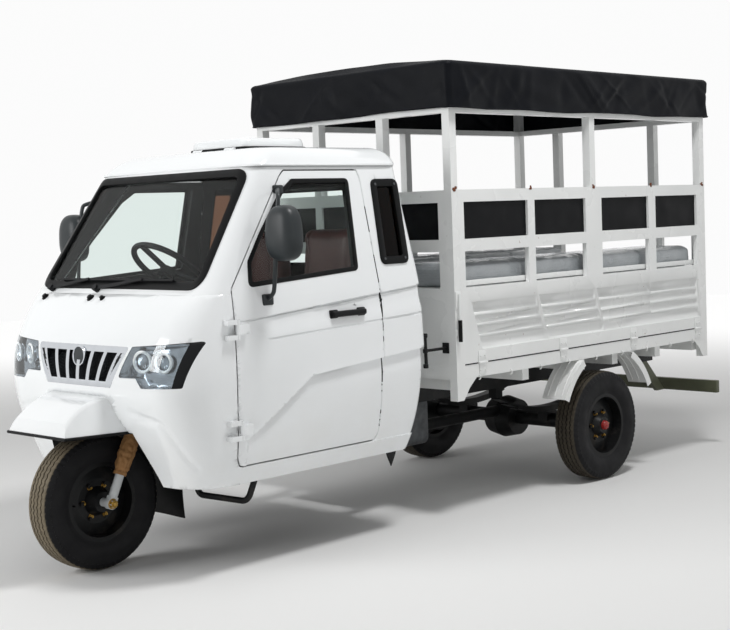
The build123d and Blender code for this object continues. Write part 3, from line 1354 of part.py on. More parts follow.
with BuildPart() as bed_side_left:
    outer_y = BED_HALF
    inner_y = BED_HALF - SIDE_THICK
    lattice_y = BED_HALF - LATTICE_THICK
    box((ahead(SIDE_REAR), inner_y, BED_FLOOR + FIT), (ahead(SIDE_FRONT), outer_y, SIDE_TOP))
    for front_share, rear_share, slant in POCKETS:
        front = ahead(BED_FRONT - front_share * BED_LENGTH)
        rear = ahead(BED_FRONT - rear_share * BED_LENGTH)
        pocket = [
            (rear - slant, POCKET_FOOT),
            (front - slant + POCKET_SPREAD, POCKET_FOOT),
            (front, POCKET_TOP),
            (rear, POCKET_TOP),
        ]
        face = flat_face(upright(BED_HALF), pocket)
        extrude(face, amount=POCKET_DEPTH, taper=POCKET_WALL, mode=Mode.SUBTRACT)
        for share in RIDGES:
            middle = POCKET_FOOT + share * (POCKET_TOP - POCKET_FOOT)
            lean = slant * (1 - share)
            box(
                (rear - lean, BED_HALF - SIDE_THICK / 2, middle - RIDGE_HEIGHT / 2),
                (front - lean, BED_HALF - POCKET_DEPTH + RIDGE_RISE, middle + RIDGE_HEIGHT / 2),
            )
    for low, high in ((LOW_RAIL, LOW_RAIL_TOP), (TOP_RAIL, TOP_RAIL_TOP)):
        box((ahead(SIDE_REAR), lattice_y, low), (ahead(SIDE_FRONT), outer_y, high))
    for rear, front in zip(UPRIGHT_REARS, UPRIGHT_FRONTS):
        box((ahead(rear), lattice_y, SIDE_TOP), (ahead(front), outer_y, TOP_RAIL_TOP))
save(bed_side_left, "bed_side_left")

with BuildPart() as bed_side_right:
    add(bed_side_left.part.mirror(Plane.XZ))
save(bed_side_right, "bed_side_right")

HEAD_HALF = BED_HALF - POST - FIT
HEAD_END = 40.0  # width of the outer uprights
HEAD_POST = (198.0, 242.0)  # edges of an inner upright, across
# Uprights of the headboard, as (right edge, left edge)
HEAD_UPRIGHTS = [
    (-HEAD_HALF, -HEAD_HALF + HEAD_END),
    (-HEAD_POST[1], -HEAD_POST[0]),
    HEAD_POST,
    (HEAD_HALF - HEAD_END, HEAD_HALF),
]
with BuildPart() as headboard:
    front_x = ahead(BED_FRONT)
    box((front_x - SIDE_THICK, -HEAD_HALF, BED_FLOOR + FIT), (front_x, HEAD_HALF, SIDE_TOP))
    for low, high in ((LOW_RAIL, LOW_RAIL_TOP), (TOP_RAIL, TOP_RAIL_TOP)):
        box((front_x - LATTICE_THICK, -HEAD_HALF, low), (front_x, HEAD_HALF, high))
    for left, right in HEAD_UPRIGHTS:
        box((front_x - LATTICE_THICK, left, SIDE_TOP), (front_x, right, TOP_RAIL_TOP))
save(headboard, "headboard")

PANEL_POST = 30.0  # width of a rear panel's uprights
GATE_BORDER = (60.0, 55.0)  # round the gate's pocket, across and up
GATE_HALF = REAR_POST_Y - POST / 2 - MOVING_GAP
with BuildPart() as rear_panels:
    rear_x = ahead(BED_REAR)
    start = REAR_POST_Y + POST / 2 + FIT
    box((rear_x, start, BED_FLOOR + FIT), (rear_x + SIDE_THICK, HEAD_HALF, SIDE_TOP))
    for low, high in ((LOW_RAIL, LOW_RAIL_TOP), (TOP_RAIL, TOP_RAIL_TOP)):
        box((rear_x, start, low), (rear_x + LATTICE_THICK, HEAD_HALF, high))
    for left, right in ((start, start + PANEL_POST), (HEAD_HALF - PANEL_POST, HEAD_HALF)):
        box((rear_x, left, SIDE_TOP), (rear_x + LATTICE_THICK, right, TOP_RAIL_TOP))
    mirror(about=Plane.XZ)
save(rear_panels, "rear_panels")

with BuildPart() as tailgate:
    box((rear_x, -GATE_HALF, GATE_FOOT), (rear_x + SIDE_THICK, GATE_HALF, SIDE_TOP))
    with BuildSketch(Plane.YZ.offset(rear_x)):
        with Locations((0, (GATE_FOOT + SIDE_TOP) / 2)):
            Rectangle(2 * (GATE_HALF - GATE_BORDER[0]), SIDE_TOP - GATE_FOOT - 2 * GATE_BORDER[1])
    extrude(amount=POCKET_DEPTH, taper=POCKET_WALL, mode=Mode.SUBTRACT)
    for across in (-GATE_HINGE_Y, GATE_HINGE_Y):
        gate_round(KNUCKLE_RADIUS, across - KNUCKLE / 2, across + KNUCKLE / 2, Mode.ADD)
        box(
            (GATE_HINGE_X, across - KNUCKLE / 2, GATE_HINGE_Z),
            (rear_x, across + KNUCKLE / 2, GATE_HINGE_Z + STRAP),
        )
        gate_round(PIN_RADIUS + FIT, across - KNUCKLE, across + KNUCKLE, Mode.SUBTRACT)
save(tailgate, "tailgate")

with BuildPart() as infill_panels:
    panel_y = BED_HALF - LATTICE_THICK / 2
    for front, rear in BAY_ENDS:
        box(
            (ahead(rear) + FIT, panel_y - PANEL_THICK, LOW_RAIL_TOP + FIT),
            (ahead(front) - FIT, panel_y, TOP_RAIL - FIT),
        )
    mirror(about=Plane.XZ)
    for (_, left), (right, _) in zip(HEAD_UPRIGHTS[:-1], HEAD_UPRIGHTS[1:]):
        panel_x = front_x - LATTICE_THICK / 2
        box(
            (panel_x - PANEL_THICK, left + FIT, LOW_RAIL_TOP + FIT),
            (panel_x, right - FIT, TOP_RAIL - FIT),
        )
save(infill_panels, "infill_panels")

with BuildPart() as canopy_rails:
    inner_front = ahead(BED_FRONT) - POST - FIT
    inner_rear = ahead(BED_REAR) + POST + FIT
    for side_y in (-BED_HALF, BED_HALF - POST):
        box((inner_rear, side_y, EAVES_RAIL), (inner_front, side_y + POST, EAVES_RAIL_TOP))
    for side_x in (ahead(BED_REAR), ahead(BED_FRONT) - POST):
        box((side_x, -HEAD_HALF, EAVES_RAIL), (side_x + POST, HEAD_HALF, EAVES_RAIL_TOP))
save(canopy_rails, "canopy_rails")

ROOF_BOWS = 5
with BuildPart() as canopy_bows:
    box(
        (ahead(BED_REAR), -BED_HALF, ROOF_RAIL + FIT),
        (ahead(BED_FRONT), BED_HALF, ROOF_RAIL_TOP),
    )
    bay = (BED_FRONT - BED_REAR - POST) / (ROOF_BOWS - 1)
    for index in range(ROOF_BOWS - 1):
        box(
            (ahead(BED_REAR) + POST + index * bay, -HEAD_HALF, ROOF_RAIL),
            (ahead(BED_REAR) + (index + 1) * bay, HEAD_HALF, ROOF_RAIL_TOP + FIT),
            Mode.SUBTRACT,
        )
save(canopy_bows, "canopy_bows")

with BuildPart() as canopy:
    reach_x = TARP_REACH
    with BuildSketch(Plane.YZ.offset(ahead(BED_REAR) - reach_x)):
        hem_y = BED_HALF + TARP_REACH
        with BuildLine():
            Polyline(
                (-hem_y, ROOF_RAIL_TOP + TARP),
                (-hem_y, TARP_HEM),
                (hem_y, TARP_HEM),
                (hem_y, ROOF_RAIL_TOP + TARP),
            )
            ThreePointArc(
                (hem_y, ROOF_RAIL_TOP + TARP),
                (0, ROOF_RAIL_TOP + TARP + TARP_CROWN),
                (-hem_y, ROOF_RAIL_TOP + TARP),
            )
        make_face()
    extrude(amount=BED_FRONT - BED_REAR + 2 * reach_x)
    box(
        (ahead(BED_REAR) - reach_x + TARP, -hem_y + TARP, TARP_HEM - 1),
        (ahead(BED_FRONT) + reach_x - TARP, hem_y - TARP, ROOF_RAIL_TOP + FIT),
        Mode.SUBTRACT,
    )
save(canopy, "canopy")

BENCH_FRONT = BED_FRONT - POST - 12
BENCH_REAR = BED_REAR + POST + 12
BENCH_OUT = BED_HALF - SIDE_THICK - FIT
BENCH_FACE = 20.0  # thickness of the front board
CUSHION_END = 6.0  # in from the bench's ends
CUSHION_EDGE = 4.0  # in from the bench's sides
CUSHION_ROUND = 25.0
with BuildPart() as benches:
    bench_in = BENCH_OUT - BENCH_DEPTH
    box((ahead(BENCH_REAR), bench_in, SIDE_TOP - BENCH_PAN), (ahead(BENCH_FRONT), BENCH_OUT, SIDE_TOP))
    box((ahead(BENCH_REAR), bench_in, BED_FLOOR + FIT), (ahead(BENCH_FRONT), bench_in + BENCH_FACE, SIDE_TOP))
    mirror(about=Plane.XZ)
save(benches, "benches")

with BuildPart() as bench_cushions:
    box(
        (ahead(BENCH_REAR) + CUSHION_END, BENCH_OUT - BENCH_DEPTH + CUSHION_EDGE, SIDE_TOP + FIT),
        (ahead(BENCH_FRONT) - CUSHION_END, BENCH_OUT - CUSHION_EDGE, SIDE_TOP + CUSHION),
    )
    fillet(bench_cushions.edges().filter_by(Axis.X), CUSHION_ROUND)
    mirror(about=Plane.XZ)
save(bench_cushions, "bench_cushions")

# Outside fittings: rear mudguards, bumper bar, lamps and steps

FENDER_RADIUS = 430.0
FENDER_SHEET = 4.0
FENDER_LOW = 25.0  # degrees above level
FENDER_HIGH = degrees(asin((BED_SILL - FIT - TYRE_RADIUS) / FENDER_RADIUS))
FENDER_LIP = 36.0
FENDER_INNER = 545.0
FENDER_OUTER = 690.0
with BuildPart() as rear_mudguards:
    for start, stop in ((FENDER_LOW, FENDER_HIGH), (180 - FENDER_HIGH, 180 - FENDER_LOW)):
        for depth, width in ((FENDER_SHEET, FENDER_OUTER - FENDER_INNER), (FENDER_LIP, FENDER_SHEET)):
            band = arc_band(
                upright(FENDER_OUTER),
                (REAR_AXLE_X, TYRE_RADIUS),
                FENDER_RADIUS - depth,
                FENDER_RADIUS,
                start,
                stop,
            )
            extrude(band, amount=width)
    mirror(about=Plane.XZ)
save(rear_mudguards, "rear_mudguards")

BUMPER_HEIGHT = 70.0
BUMPER_FOOT = 320.0
BUMPER_DEPTH = 30.0
BUMPER_HALF = 640.0
BUMPER_ARM = (40.0, 140.0)  # ahead of the frame's end, of an arm's root
BUMPER_ARM_FOOT = 80.0  # length of an arm's foot
BUMPER_ARM_HALF = 10.0
TAIL_LAMP = (30.0, 150.0, 55.0)  # along, across and up
TAIL_LAMP_Y = 540.0
with BuildPart() as rear_bumper:
    back = REAR_AXLE_X - REAR_OVERHANG
    box((back, -BUMPER_HALF, BUMPER_FOOT), (back + BUMPER_DEPTH, BUMPER_HALF, BUMPER_FOOT + BUMPER_HEIGHT))
    arm = [
        (back + BUMPER_DEPTH, BUMPER_FOOT),
        (ahead(FRAME_REAR) + BUMPER_ARM[0], REAR_RAIL_TOP - RAIL_HEIGHT - FIT),
        (ahead(FRAME_REAR) + BUMPER_ARM[1], REAR_RAIL_TOP - RAIL_HEIGHT - FIT),
        (back + BUMPER_DEPTH + BUMPER_ARM_FOOT, BUMPER_FOOT),
    ]
    for side in (-1, 1):
        extrude(flat_face(upright(side * RAIL_HALF), arm), amount=BUMPER_ARM_HALF, both=True)
save(rear_bumper, "rear_bumper")

with BuildPart() as tail_lamps:
    for side in (-1, 1):
        lamp_x = ahead(BED_REAR) - TAIL_LAMP[0] / 2 - FIT
        with Locations((lamp_x, side * TAIL_LAMP_Y, (BED_SILL + BED_FLOOR) / 2)):
            Box(*TAIL_LAMP)
save(tail_lamps, "tail_lamps")

STEP_RADIUS = 13.0
STEP_BEND = 34.0
STEP_LOW = 287.0  # height of the tube's tread
STEP_SEAT = (2352.0, 580.0)  # under the sill, as ahead of the rear axle and across
STEP_KNEE = (2400.0, 572.0)
STEP_ROOT_X = 2425.0  # under the frame's rail
STEP_TRIM = 60.0
with BuildPart() as side_steps:
    step_top = LOWER_ROWS[0].height - FIT
    for side in (-1, 1):
        with BuildLine() as step_path:
            FilletPolyline(
                (ahead(STEP_ROOT_X), side * RAIL_HALF, FRONT_RAIL_TOP - RAIL_HEIGHT - FIT),
                (ahead(STEP_ROOT_X), side * RAIL_HALF, STEP_LOW),
                (ahead(STEP_KNEE[0]), side * STEP_KNEE[1], STEP_LOW),
                (ahead(STEP_SEAT[0]), side * STEP_SEAT[1], step_top + STEP_TRIM / 2),
                radius=STEP_BEND,
            )
        with BuildSketch(Plane(origin=step_path.line @ 0, z_dir=step_path.line % 0)):
            Circle(STEP_RADIUS)
        sweep(path=step_path.line)
        reach = sorted((side * STEP_KNEE[1] / 2, side * 2 * STEP_KNEE[1]))
        box(
            (ahead(STEP_SEAT[0]) - STEP_TRIM, reach[0], step_top),
            (ahead(STEP_KNEE[0]) + STEP_TRIM, reach[1], step_top + STEP_TRIM),
            Mode.SUBTRACT,
        )
save(side_steps, "side_steps")
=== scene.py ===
"""Dresses an enclosed cargo tricycle: paint, rubber, cloth, lamps and small fittings round its CAD frame.

Every size is in metres in the frame of the CAD model: +X forward, +Y to the vehicle's left, +Z up.
"""

import logging
import math
import random
from dataclasses import dataclass, field
from enum import Enum
from typing import Any, Callable, Iterable, Sequence

import bmesh
import bpy
from mathutils import Matrix, Vector, noise
from mathutils.bvhtree import BVHTree


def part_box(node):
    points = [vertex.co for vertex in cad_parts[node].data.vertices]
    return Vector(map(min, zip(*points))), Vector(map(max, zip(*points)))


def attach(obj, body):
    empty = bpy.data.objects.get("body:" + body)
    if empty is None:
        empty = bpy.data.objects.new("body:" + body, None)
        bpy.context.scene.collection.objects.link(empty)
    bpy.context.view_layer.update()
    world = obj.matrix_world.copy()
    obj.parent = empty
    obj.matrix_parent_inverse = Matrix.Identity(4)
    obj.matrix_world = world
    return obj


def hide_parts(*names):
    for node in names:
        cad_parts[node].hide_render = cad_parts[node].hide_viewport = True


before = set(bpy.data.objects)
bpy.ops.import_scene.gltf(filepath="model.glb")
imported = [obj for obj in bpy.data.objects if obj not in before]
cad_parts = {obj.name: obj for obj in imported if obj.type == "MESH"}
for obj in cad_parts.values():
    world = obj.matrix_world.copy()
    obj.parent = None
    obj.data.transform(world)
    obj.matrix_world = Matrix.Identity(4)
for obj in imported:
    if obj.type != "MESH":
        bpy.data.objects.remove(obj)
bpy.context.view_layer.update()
LOG = logging.getLogger("tricycle")

MM = 0.001
MERGE = 1e-6
WHITE = (1.0, 1.0, 1.0, 1.0)
# Blender's wave texture of scale 1 repeats every 0.314 m
WAVE_LENGTH = 0.314
REAR_AXLE_X = -0.930
FRONT_AXLE_X = 1.820
AXLE_Z = 0.285
RAKE = math.radians(25.0)

Colour = tuple[float, float, float, float]
Flat = tuple[float, float]
Point = tuple[float, float, float]
Fold = tuple[float, float, float, float]
Piece = bpy.types.Object
Shape = bmesh.types.BMesh
Tree = bpy.types.NodeTree


class Body(str, Enum):
    """Names of the bodies that pieces ride on."""

    MAIN = "body"
    STEERING = "steering"
    FRONT_WHEEL = "front_wheel"
    REAR_LEFT_WHEEL = "rear_left_wheel"
    REAR_RIGHT_WHEEL = "rear_right_wheel"
    LEFT_DOOR = "left_door"
    RIGHT_DOOR = "right_door"
    HATCH = "hatch"


class Side(Enum):
    """Sides of the vehicle, as the sign of Y."""

    LEFT = 1
    RIGHT = -1


def linear(code: str) -> Colour:
    """Turns an sRGB hex colour into linear values.

    Args:
        code: Six hex digits, with or without a leading mark.

    Returns:
        Red, green, blue and full alpha.
    """
    digits = code.lstrip("#")
    parts = [int(digits[i : i + 2], 16) / 255 for i in (0, 2, 4)]
    curve = [c / 12.92 if c <= 0.04045 else ((c + 0.055) / 1.055) ** 2.4 for c in parts]
    return curve[0], curve[1], curve[2], 1.0


def add_node(
    tree: Tree, kind: str, inputs: dict[Any, Any] | None = None, out: str | int | None = None, **settings: Any
) -> Any:
    """Adds a node with its settings, values and links.

    Args:
        tree: The node tree.
        kind: The node's type, without its leading ShaderNode.
        inputs: Values or output sockets, by input name or index.
        out: Name or index of the output that is wanted.
        **settings: Properties of the node.

    Returns:
        That output, or else the new node.
    """
    node = tree.nodes.new(f"ShaderNode{kind}")
    for key, value in settings.items():
        setattr(node, key, value)
    for key, value in (inputs or {}).items():
        if isinstance(value, bpy.types.NodeSocket):
            tree.links.new(value, node.inputs[key])
        else:
            node.inputs[key].default_value = value
    return node if out is None else node.outputs[out]


def new_material(name: str) -> tuple[bpy.types.Material, Tree]:
    """Starts a material with an empty node tree.

    Args:
        name: The material's name.

    Returns:
        The material and its tree.
    """
    material = bpy.data.materials.new(name)
    material.use_nodes = True
    material.node_tree.nodes.clear()
    return material, material.node_tree


@dataclass(frozen=True)
class Deposit:
    """Something that lies on a finish in patches: dust, rust or road dirt.

    Attributes:
        colour: Its colour.
        patch_mm: Size of its patches.
        cover: Share of the surface's noise that it covers, from 0 to 1.
        low: Height where it is strongest.
        high: Height where it ends.
        sharp: Softness of the patches' edges; small is sharp.
    """

    colour: str
    patch_mm: float
    cover: float
    low: float
    high: float
    sharp: float = 0.15


@dataclass(frozen=True)
class Finish:
    """A surface finish, built as one node material.

    Attributes:
        name: What the material is and how its surface was made.
        colour: Main colour.
        mottle: Second colour of its slow variation.
        mottle_mm: Size of that variation.
        roughness: Least and most roughness.
        grain_mm: Size of the surface's grain.
        grain_depth_mm: Depth of that grain.
        metallic: Share of metal.
        ior: Index of refraction.
        coat: Weight of a clear coat.
        coat_roughness: Roughness of that coat.
        transmission: Share of light that passes.
        weave_mm: Spacing of a weave's threads, or 0.
        cells_mm: Spacing of raised cells, or 0.
        cells_depth_mm: Height of those cells.
        deposits: What lies on it.
        attribute: Name of a point attribute that mixes in attribute_colour, or an empty name.
        attribute_colour: Colour where the attribute is 1.
        interior_shade: Colour of painted shade on faces that look towards interior_shade_from, or an empty
            name.
        interior_shade_from: The middle of the cab, towards which those shaded faces look.
    """

    name: str
    colour: str
    mottle: str
    mottle_mm: float
    roughness: tuple[float, float]
    grain_mm: float
    grain_depth_mm: float
    metallic: float = 0.0
    ior: float = 1.5
    coat: float = 0.0
    coat_roughness: float = 0.05
    transmission: float = 0.0
    weave_mm: float = 0.0
    cells_mm: float = 0.0
    cells_depth_mm: float = 0.0
    deposits: tuple[Deposit, ...] = ()
    attribute: str = ""
    attribute_colour: str = "000000"
    interior_shade: str = ""
    interior_shade_from: Point = (0.95, 0.0, 1.15)

    def build(self) -> bpy.types.Material:
        """Builds the node material.

        Returns:
            The material.
        """
        material, tree = new_material(self.name)
        place = add_node(tree, "TexCoord", out="Object")
        clouds = {"Vector": place, "Scale": 1 / (self.mottle_mm * MM), "Detail": 4.0}
        slow = add_node(tree, "TexNoise", clouds, "Fac")
        shades = {"Factor": slow, "A": linear(self.colour), "B": linear(self.mottle)}
        base = add_node(tree, "Mix", shades, "Result", data_type="RGBA")
        if self.attribute:
            mark = add_node(tree, "Attribute", None, "Fac", attribute_name=self.attribute)
            shades = {"Factor": mark, "A": base, "B": linear(self.attribute_colour)}
            base = add_node(tree, "Mix", shades, "Result", data_type="RGBA")
        low, high = self.roughness
        span = {"Value": slow, "From Min": 0.3, "From Max": 0.7, "To Min": low, "To Max": high}
        rough = add_node(tree, "MapRange", span, "Result")
        for deposit in self.deposits:
            base, rough = self.add_deposit(tree, place, deposit, base, rough)
        # Faces inside the cab get near-black painted shade
        if self.interior_shade:
            base, rough = self.add_interior_shade(tree, place, base, rough)
        values = {
            "Base Color": base,
            "Roughness": rough,
            "Metallic": self.metallic,
            "IOR": self.ior,
            "Coat Weight": self.coat,
            "Coat Roughness": self.coat_roughness,
            "Transmission Weight": self.transmission,
            "Normal": self.add_relief(tree, place),
        }
        shader = add_node(tree, "BsdfPrincipled", values, "BSDF")
        add_node(tree, "OutputMaterial", {"Surface": shader})
        return material

    def add_interior_shade(self, tree: Tree, place: Any, base: Any, rough: Any) -> tuple[Any, Any]:
        """Paints near-black painted shade on faces that look into the cab; below its middle only level looks
        count.

        Args:
            tree: The node tree.
            place: Object coordinates.
            base: The colour so far.
            rough: The roughness so far.

        Returns:
            The colour and the roughness with the painted shade.
        """
        facing = add_node(tree, "TexCoord", out="Normal")
        away = add_node(tree, "VectorMath", {0: place, 1: self.interior_shade_from}, "Vector", operation="SUBTRACT")
        level = add_node(tree, "VectorMath", {0: away, 1: (-9, -9, 0)}, "Vector", operation="MAXIMUM")
        turn = add_node(tree, "VectorMath", {0: facing, 1: level}, "Value", operation="DOT_PRODUCT")
        outer = add_node(tree, "Math", {0: turn, 1: -0.01}, "Value", operation="GREATER_THAN")
        shades = {"Factor": outer, "A": linear(self.interior_shade), "B": base}
        colour = add_node(tree, "Mix", shades, "Result", data_type="RGBA")
        return colour, add_node(tree, "Mix", {"Factor": outer, "A": 0.8, "B": rough}, "Result")

    def add_deposit(self, tree: Tree, place: Any, deposit: Deposit, base: Any, rough: Any) -> tuple[Any, Any]:
        """Lays a deposit over the colour and roughness.

        Args:
            tree: The node tree.
            place: Object coordinates.
            deposit: What lies there.
            base: The colour so far.
            rough: The roughness so far.

        Returns:
            The colour and the roughness with the deposit.
        """
        height = add_node(tree, "SeparateXYZ", {"Vector": place}, "Z")
        span = {"Value": height, "From Min": deposit.low, "From Max": deposit.high}
        fade = add_node(tree, "MapRange", span | {"To Min": 1.0, "To Max": 0.0}, "Result")
        clouds = {"Vector": place, "Scale": 1 / (deposit.patch_mm * MM), "Detail": 6.0, "Roughness": 0.65}
        patches = add_node(tree, "TexNoise", clouds, "Fac")
        edge = 1 - deposit.cover
        span = {"Value": patches, "From Min": edge, "From Max": edge + deposit.sharp}
        spots = add_node(tree, "MapRange", span, "Result")
        mask = add_node(tree, "Math", {0: fade, 1: spots}, "Value", operation="MULTIPLY")
        shades = {"Factor": mask, "A": base, "B": linear(deposit.colour)}
        colour = add_node(tree, "Mix", shades, "Result", data_type="RGBA")
        return colour, add_node(tree, "Math", {0: mask, 1: 0.45, 2: rough}, "Value", operation="MULTIPLY_ADD")

    def add_relief(self, tree: Tree, place: Any) -> Any:
        """Adds the grain, weave and cells as bump.

        Args:
            tree: The node tree.
            place: Object coordinates.

        Returns:
            The normal's socket.
        """
        clouds = {"Vector": place, "Scale": 1 / (self.grain_mm * MM), "Detail": 3.0}
        height = add_node(tree, "TexNoise", clouds, "Fac")
        bump = {"Height": height, "Strength": 1.0, "Distance": self.grain_depth_mm * MM}
        normal = add_node(tree, "Bump", bump, "Normal")
        if self.weave_mm:
            threads = {"Vector": place, "Scale": WAVE_LENGTH / (self.weave_mm * MM), "Distortion": 0.6}
            for axis in ("X", "Z"):
                height = add_node(tree, "TexWave", threads, "Fac", bands_direction=axis)
                bump = {"Height": height, "Strength": 0.35, "Distance": 0.3 * MM, "Normal": normal}
                normal = add_node(tree, "Bump", bump, "Normal")
        if self.cells_mm:
            cells = {"Vector": place, "Scale": 1 / (self.cells_mm * MM), "Randomness": 0.35}
            reach = add_node(tree, "TexVoronoi", cells, "Distance")
            dome = {"Value": reach, "From Min": 0.0, "From Max": 0.6, "To Min": 1.0, "To Max": 0.0}
            height = add_node(tree, "MapRange", dome, "Result", interpolation_type="SMOOTHSTEP")
            bump = {"Height": height, "Strength": 0.8, "Distance": self.cells_depth_mm * MM, "Normal": normal}
            normal = add_node(tree, "Bump", bump, "Normal")
        return normal


ROAD_DUST = Deposit("D9D3C6", 220, 0.6, 0.36, 0.8, 1.8)
WELD_RUST = Deposit("7B3F1E", 26, 0.315, 1.46, 1.56, 0.05)
RUST_FLECKS = Deposit("8A5530", 9, 0.27, 0.55, 2.1, 0.04)
CHASSIS_DUST = Deposit("57514A", 90, 0.45, 0.15, 0.7, 0.5)


class Palette:
    """Every finish of the vehicle, built when it is first asked for.

    Black finishes have a lower IOR than real ones, since the studio is white all round and the yard is not.
    """

    # Two-pack enamel, sprayed: an even gloss with a little orange peel, drawn coarser to show; inner faces
    # near-black as painted shade of the cab's interior
    CAB_PAINT = Finish(
        "cab_white_enamel", "F3F5F6", "EAEDEE", 420, (0.1, 0.2), 7, 0.03,
        coat=0.6, deposits=(ROAD_DUST,), interior_shade="0B0C0E",
    )
    # Brushed-on enamel over welded steel: less gloss, and rust at the welds
    BED_PAINT = Finish(
        "bed_white_enamel", "F0F1F0", "E3E5E4", 300, (0.22, 0.36), 5, 0.06,
        coat=0.25, deposits=(WELD_RUST, RUST_FLECKS, ROAD_DUST),
    )
    # Satin black chassis paint, dusty from the road
    CHASSIS_PAINT = Finish(
        "chassis_satin_black", "0B0C0D", "131415", 140, (0.38, 0.55), 3, 0.08,
        ior=1.3, deposits=(CHASSIS_DUST,),
    )
    # Injection-moulded black ABS with a fine leather grain
    BLACK_ABS = Finish("black_abs_moulded", "0F1012", "151618", 60, (0.36, 0.5), 1.6, 0.08, ior=1.25)
    GREY_ABS = Finish("dark_grey_abs_moulded", "2E3335", "262A2C", 70, (0.3, 0.42), 1.6, 0.05, ior=1.35)
    # Extruded EPDM seal: dull black
    SEAL_RUBBER = Finish("seal_epdm_rubber", "08090A", "0E0F10", 40, (0.34, 0.5), 2.0, 0.05, ior=1.22)
    # Vulcanised tyre rubber, with pale road dust on what touches the road
    TYRE_RUBBER = Finish(
        "tyre_rubber", "0D0D0F", "131315", 60, (0.55, 0.75), 2.5, 0.12,
        ior=1.3, attribute="dust", attribute_colour="A3957C",
    )
    # Bright decorative chrome on plastic
    CHROME = Finish("chrome_plated_plastic", "D5D8DC", "C6CACF", 50, (0.04, 0.1), 6, 0.01, metallic=1.0)
    # Vacuum-metallised lamp bowl
    REFLECTOR = Finish("aluminised_lamp_bowl", "A3A9AF", "6E757C", 24, (0.08, 0.22), 3, 0.15, metallic=1.0)
    LAMP_RING = Finish("opal_light_guide", "F4F7F8", "E8EDEF", 20, (0.2, 0.3), 4, 0.02)
    # Clear polycarbonate and float glass
    LENS = Finish(
        "clear_polycarbonate", "F4F8FA", "EDF3F6", 80, (0.01, 0.03), 30, 0.005,
        transmission=1.0, ior=1.45,
    )
    RED_LENS = Finish("red_lamp_acrylic", "A3130F", "7E0E0B", 30, (0.12, 0.2), 4, 0.02, coat=0.5)
    AMBER_LENS = Finish("amber_lamp_acrylic", "C76A12", "A9560C", 30, (0.12, 0.2), 4, 0.02, coat=0.5)
    # Yellow-zinc plated nuts
    ZINC = Finish("yellow_zinc_plate", "A98B4A", "866630", 8, (0.25, 0.42), 1.5, 0.04, metallic=1.0)
    # Grey sprayed fork leg
    FORK_PAINT = Finish("fork_silver_paint", "D3D6D7", "BFC3C4", 40, (0.3, 0.45), 3, 0.05)
    # Kraft paper wrapped for delivery: fibrous and creased
    KRAFT = Finish("kraft_paper", "A97E4E", "8C6238", 22, (0.7, 0.85), 1.2, 0.25)
    # PVC-coated tarpaulin: navy-black, satin, with the base cloth's weave; threads drawn at 3 mm to show
    TARPAULIN = Finish(
        "pvc_tarpaulin", "05070B", "0A0C12", 130, (0.42, 0.56), 14, 0.35,
        ior=1.18, weave_mm=3.0,
    )
    VINYL = Finish("charcoal_vinyl", "0B0C0E", "111214", 90, (0.46, 0.6), 9, 0.3, ior=1.2, weave_mm=3.0)
    # Bubble wrap over the bench pads; 10 mm bubbles drawn at 13 mm to show
    BUBBLE_WRAP = Finish(
        "bubble_wrap_film", "C6CBCE", "AAB0B5", 120, (0.16, 0.3), 35, 1.2,
        coat=0.35, cells_mm=13, cells_depth_mm=1.6,
    )
    LEATHERETTE = Finish("seat_leatherette", "4C211D", "3A1714", 90, (0.42, 0.58), 2.2, 0.18)
    BUMPER_PAINT = Finish(
        "bumper_olive_grey", "5A5D48", "4A4D3C", 60, (0.4, 0.55), 2.5, 0.06,
        deposits=(CHASSIS_DUST,),
    )
    CAST_METAL = Finish("sand_cast_aluminium", "5E6062", "47494B", 30, (0.45, 0.65), 1.8, 0.2, metallic=0.7)
    MIRROR = Finish("mirror_silvering", "E4E8EA", "DDE2E4", 200, (0.01, 0.03), 60, 0.002, metallic=1.0)
    # Rust run out of a weld: dry, grainy oxide
    RUST = Finish("weld_rust", "7A4122", "4F2A17", 6, (0.75, 0.9), 1.5, 0.3)
    HUB_RED = Finish("hub_red_enamel", "9E1D1B", "7F1513", 25, (0.25, 0.4), 2, 0.04)

    def __init__(self) -> None:
        """Starts with nothing built."""
        self.built: dict[str, bpy.types.Material] = {}

    def get(self, finish: Finish) -> bpy.types.Material:
        """Gives the material of a finish, built once."""
        self.built[finish.name] = self.built.get(finish.name) or finish.build()
        return self.built[finish.name]


PALETTE = Palette()


@dataclass(frozen=True)
class WindowGlass:
    """Toughened float glass: faintly green, with brown film on the small side panes.

    Attributes:
        name: The material's name.
        clear: Tint of the large panes.
        film: Tint of the small side panes.
        film_from: Distance to the side past which the film starts.
        ior: Index of refraction, below float glass's 1.52, so that the white studio's reflection leaves the
            inside in sight.
    """

    name: str = "float_glass"
    clear: str = "F0F6F4"
    film: str = "6B4A38"
    film_from: float = 0.53
    ior: float = 1.15

    def build(self, tinted: bool) -> bpy.types.Material:
        """Builds the glass.

        Args:
            tinted: True where the node holds the small side panes.

        Returns:
            The material.
        """
        material, tree = new_material(self.name if tinted else self.name + "_door")
        place = add_node(tree, "TexCoord", out="Object")
        smear = add_node(tree, "TexNoise", {"Vector": place, "Scale": 6.0, "Detail": 5.0}, "Fac")
        span = {"Value": smear, "From Min": 0.45, "From Max": 0.75, "To Min": 0.0, "To Max": 0.02}
        rough = add_node(tree, "MapRange", span, "Result")
        values = {"Roughness": rough, "IOR": self.ior, "Transmission Weight": 1.0}
        values["Base Color"] = linear(self.clear)
        if tinted:
            across = add_node(tree, "SeparateXYZ", {"Vector": place}, "Y")
            away = add_node(tree, "Math", {0: across}, "Value", operation="ABSOLUTE")
            mask = add_node(tree, "Math", {0: away, 1: self.film_from}, "Value", operation="GREATER_THAN")
            shades = {"Factor": mask, "A": linear(self.clear), "B": linear(self.film)}
            values["Base Color"] = add_node(tree, "Mix", shades, "Result", data_type="RGBA")
        shader = add_node(tree, "BsdfPrincipled", values, "BSDF")
        add_node(tree, "OutputMaterial", {"Surface": shader})
        return material


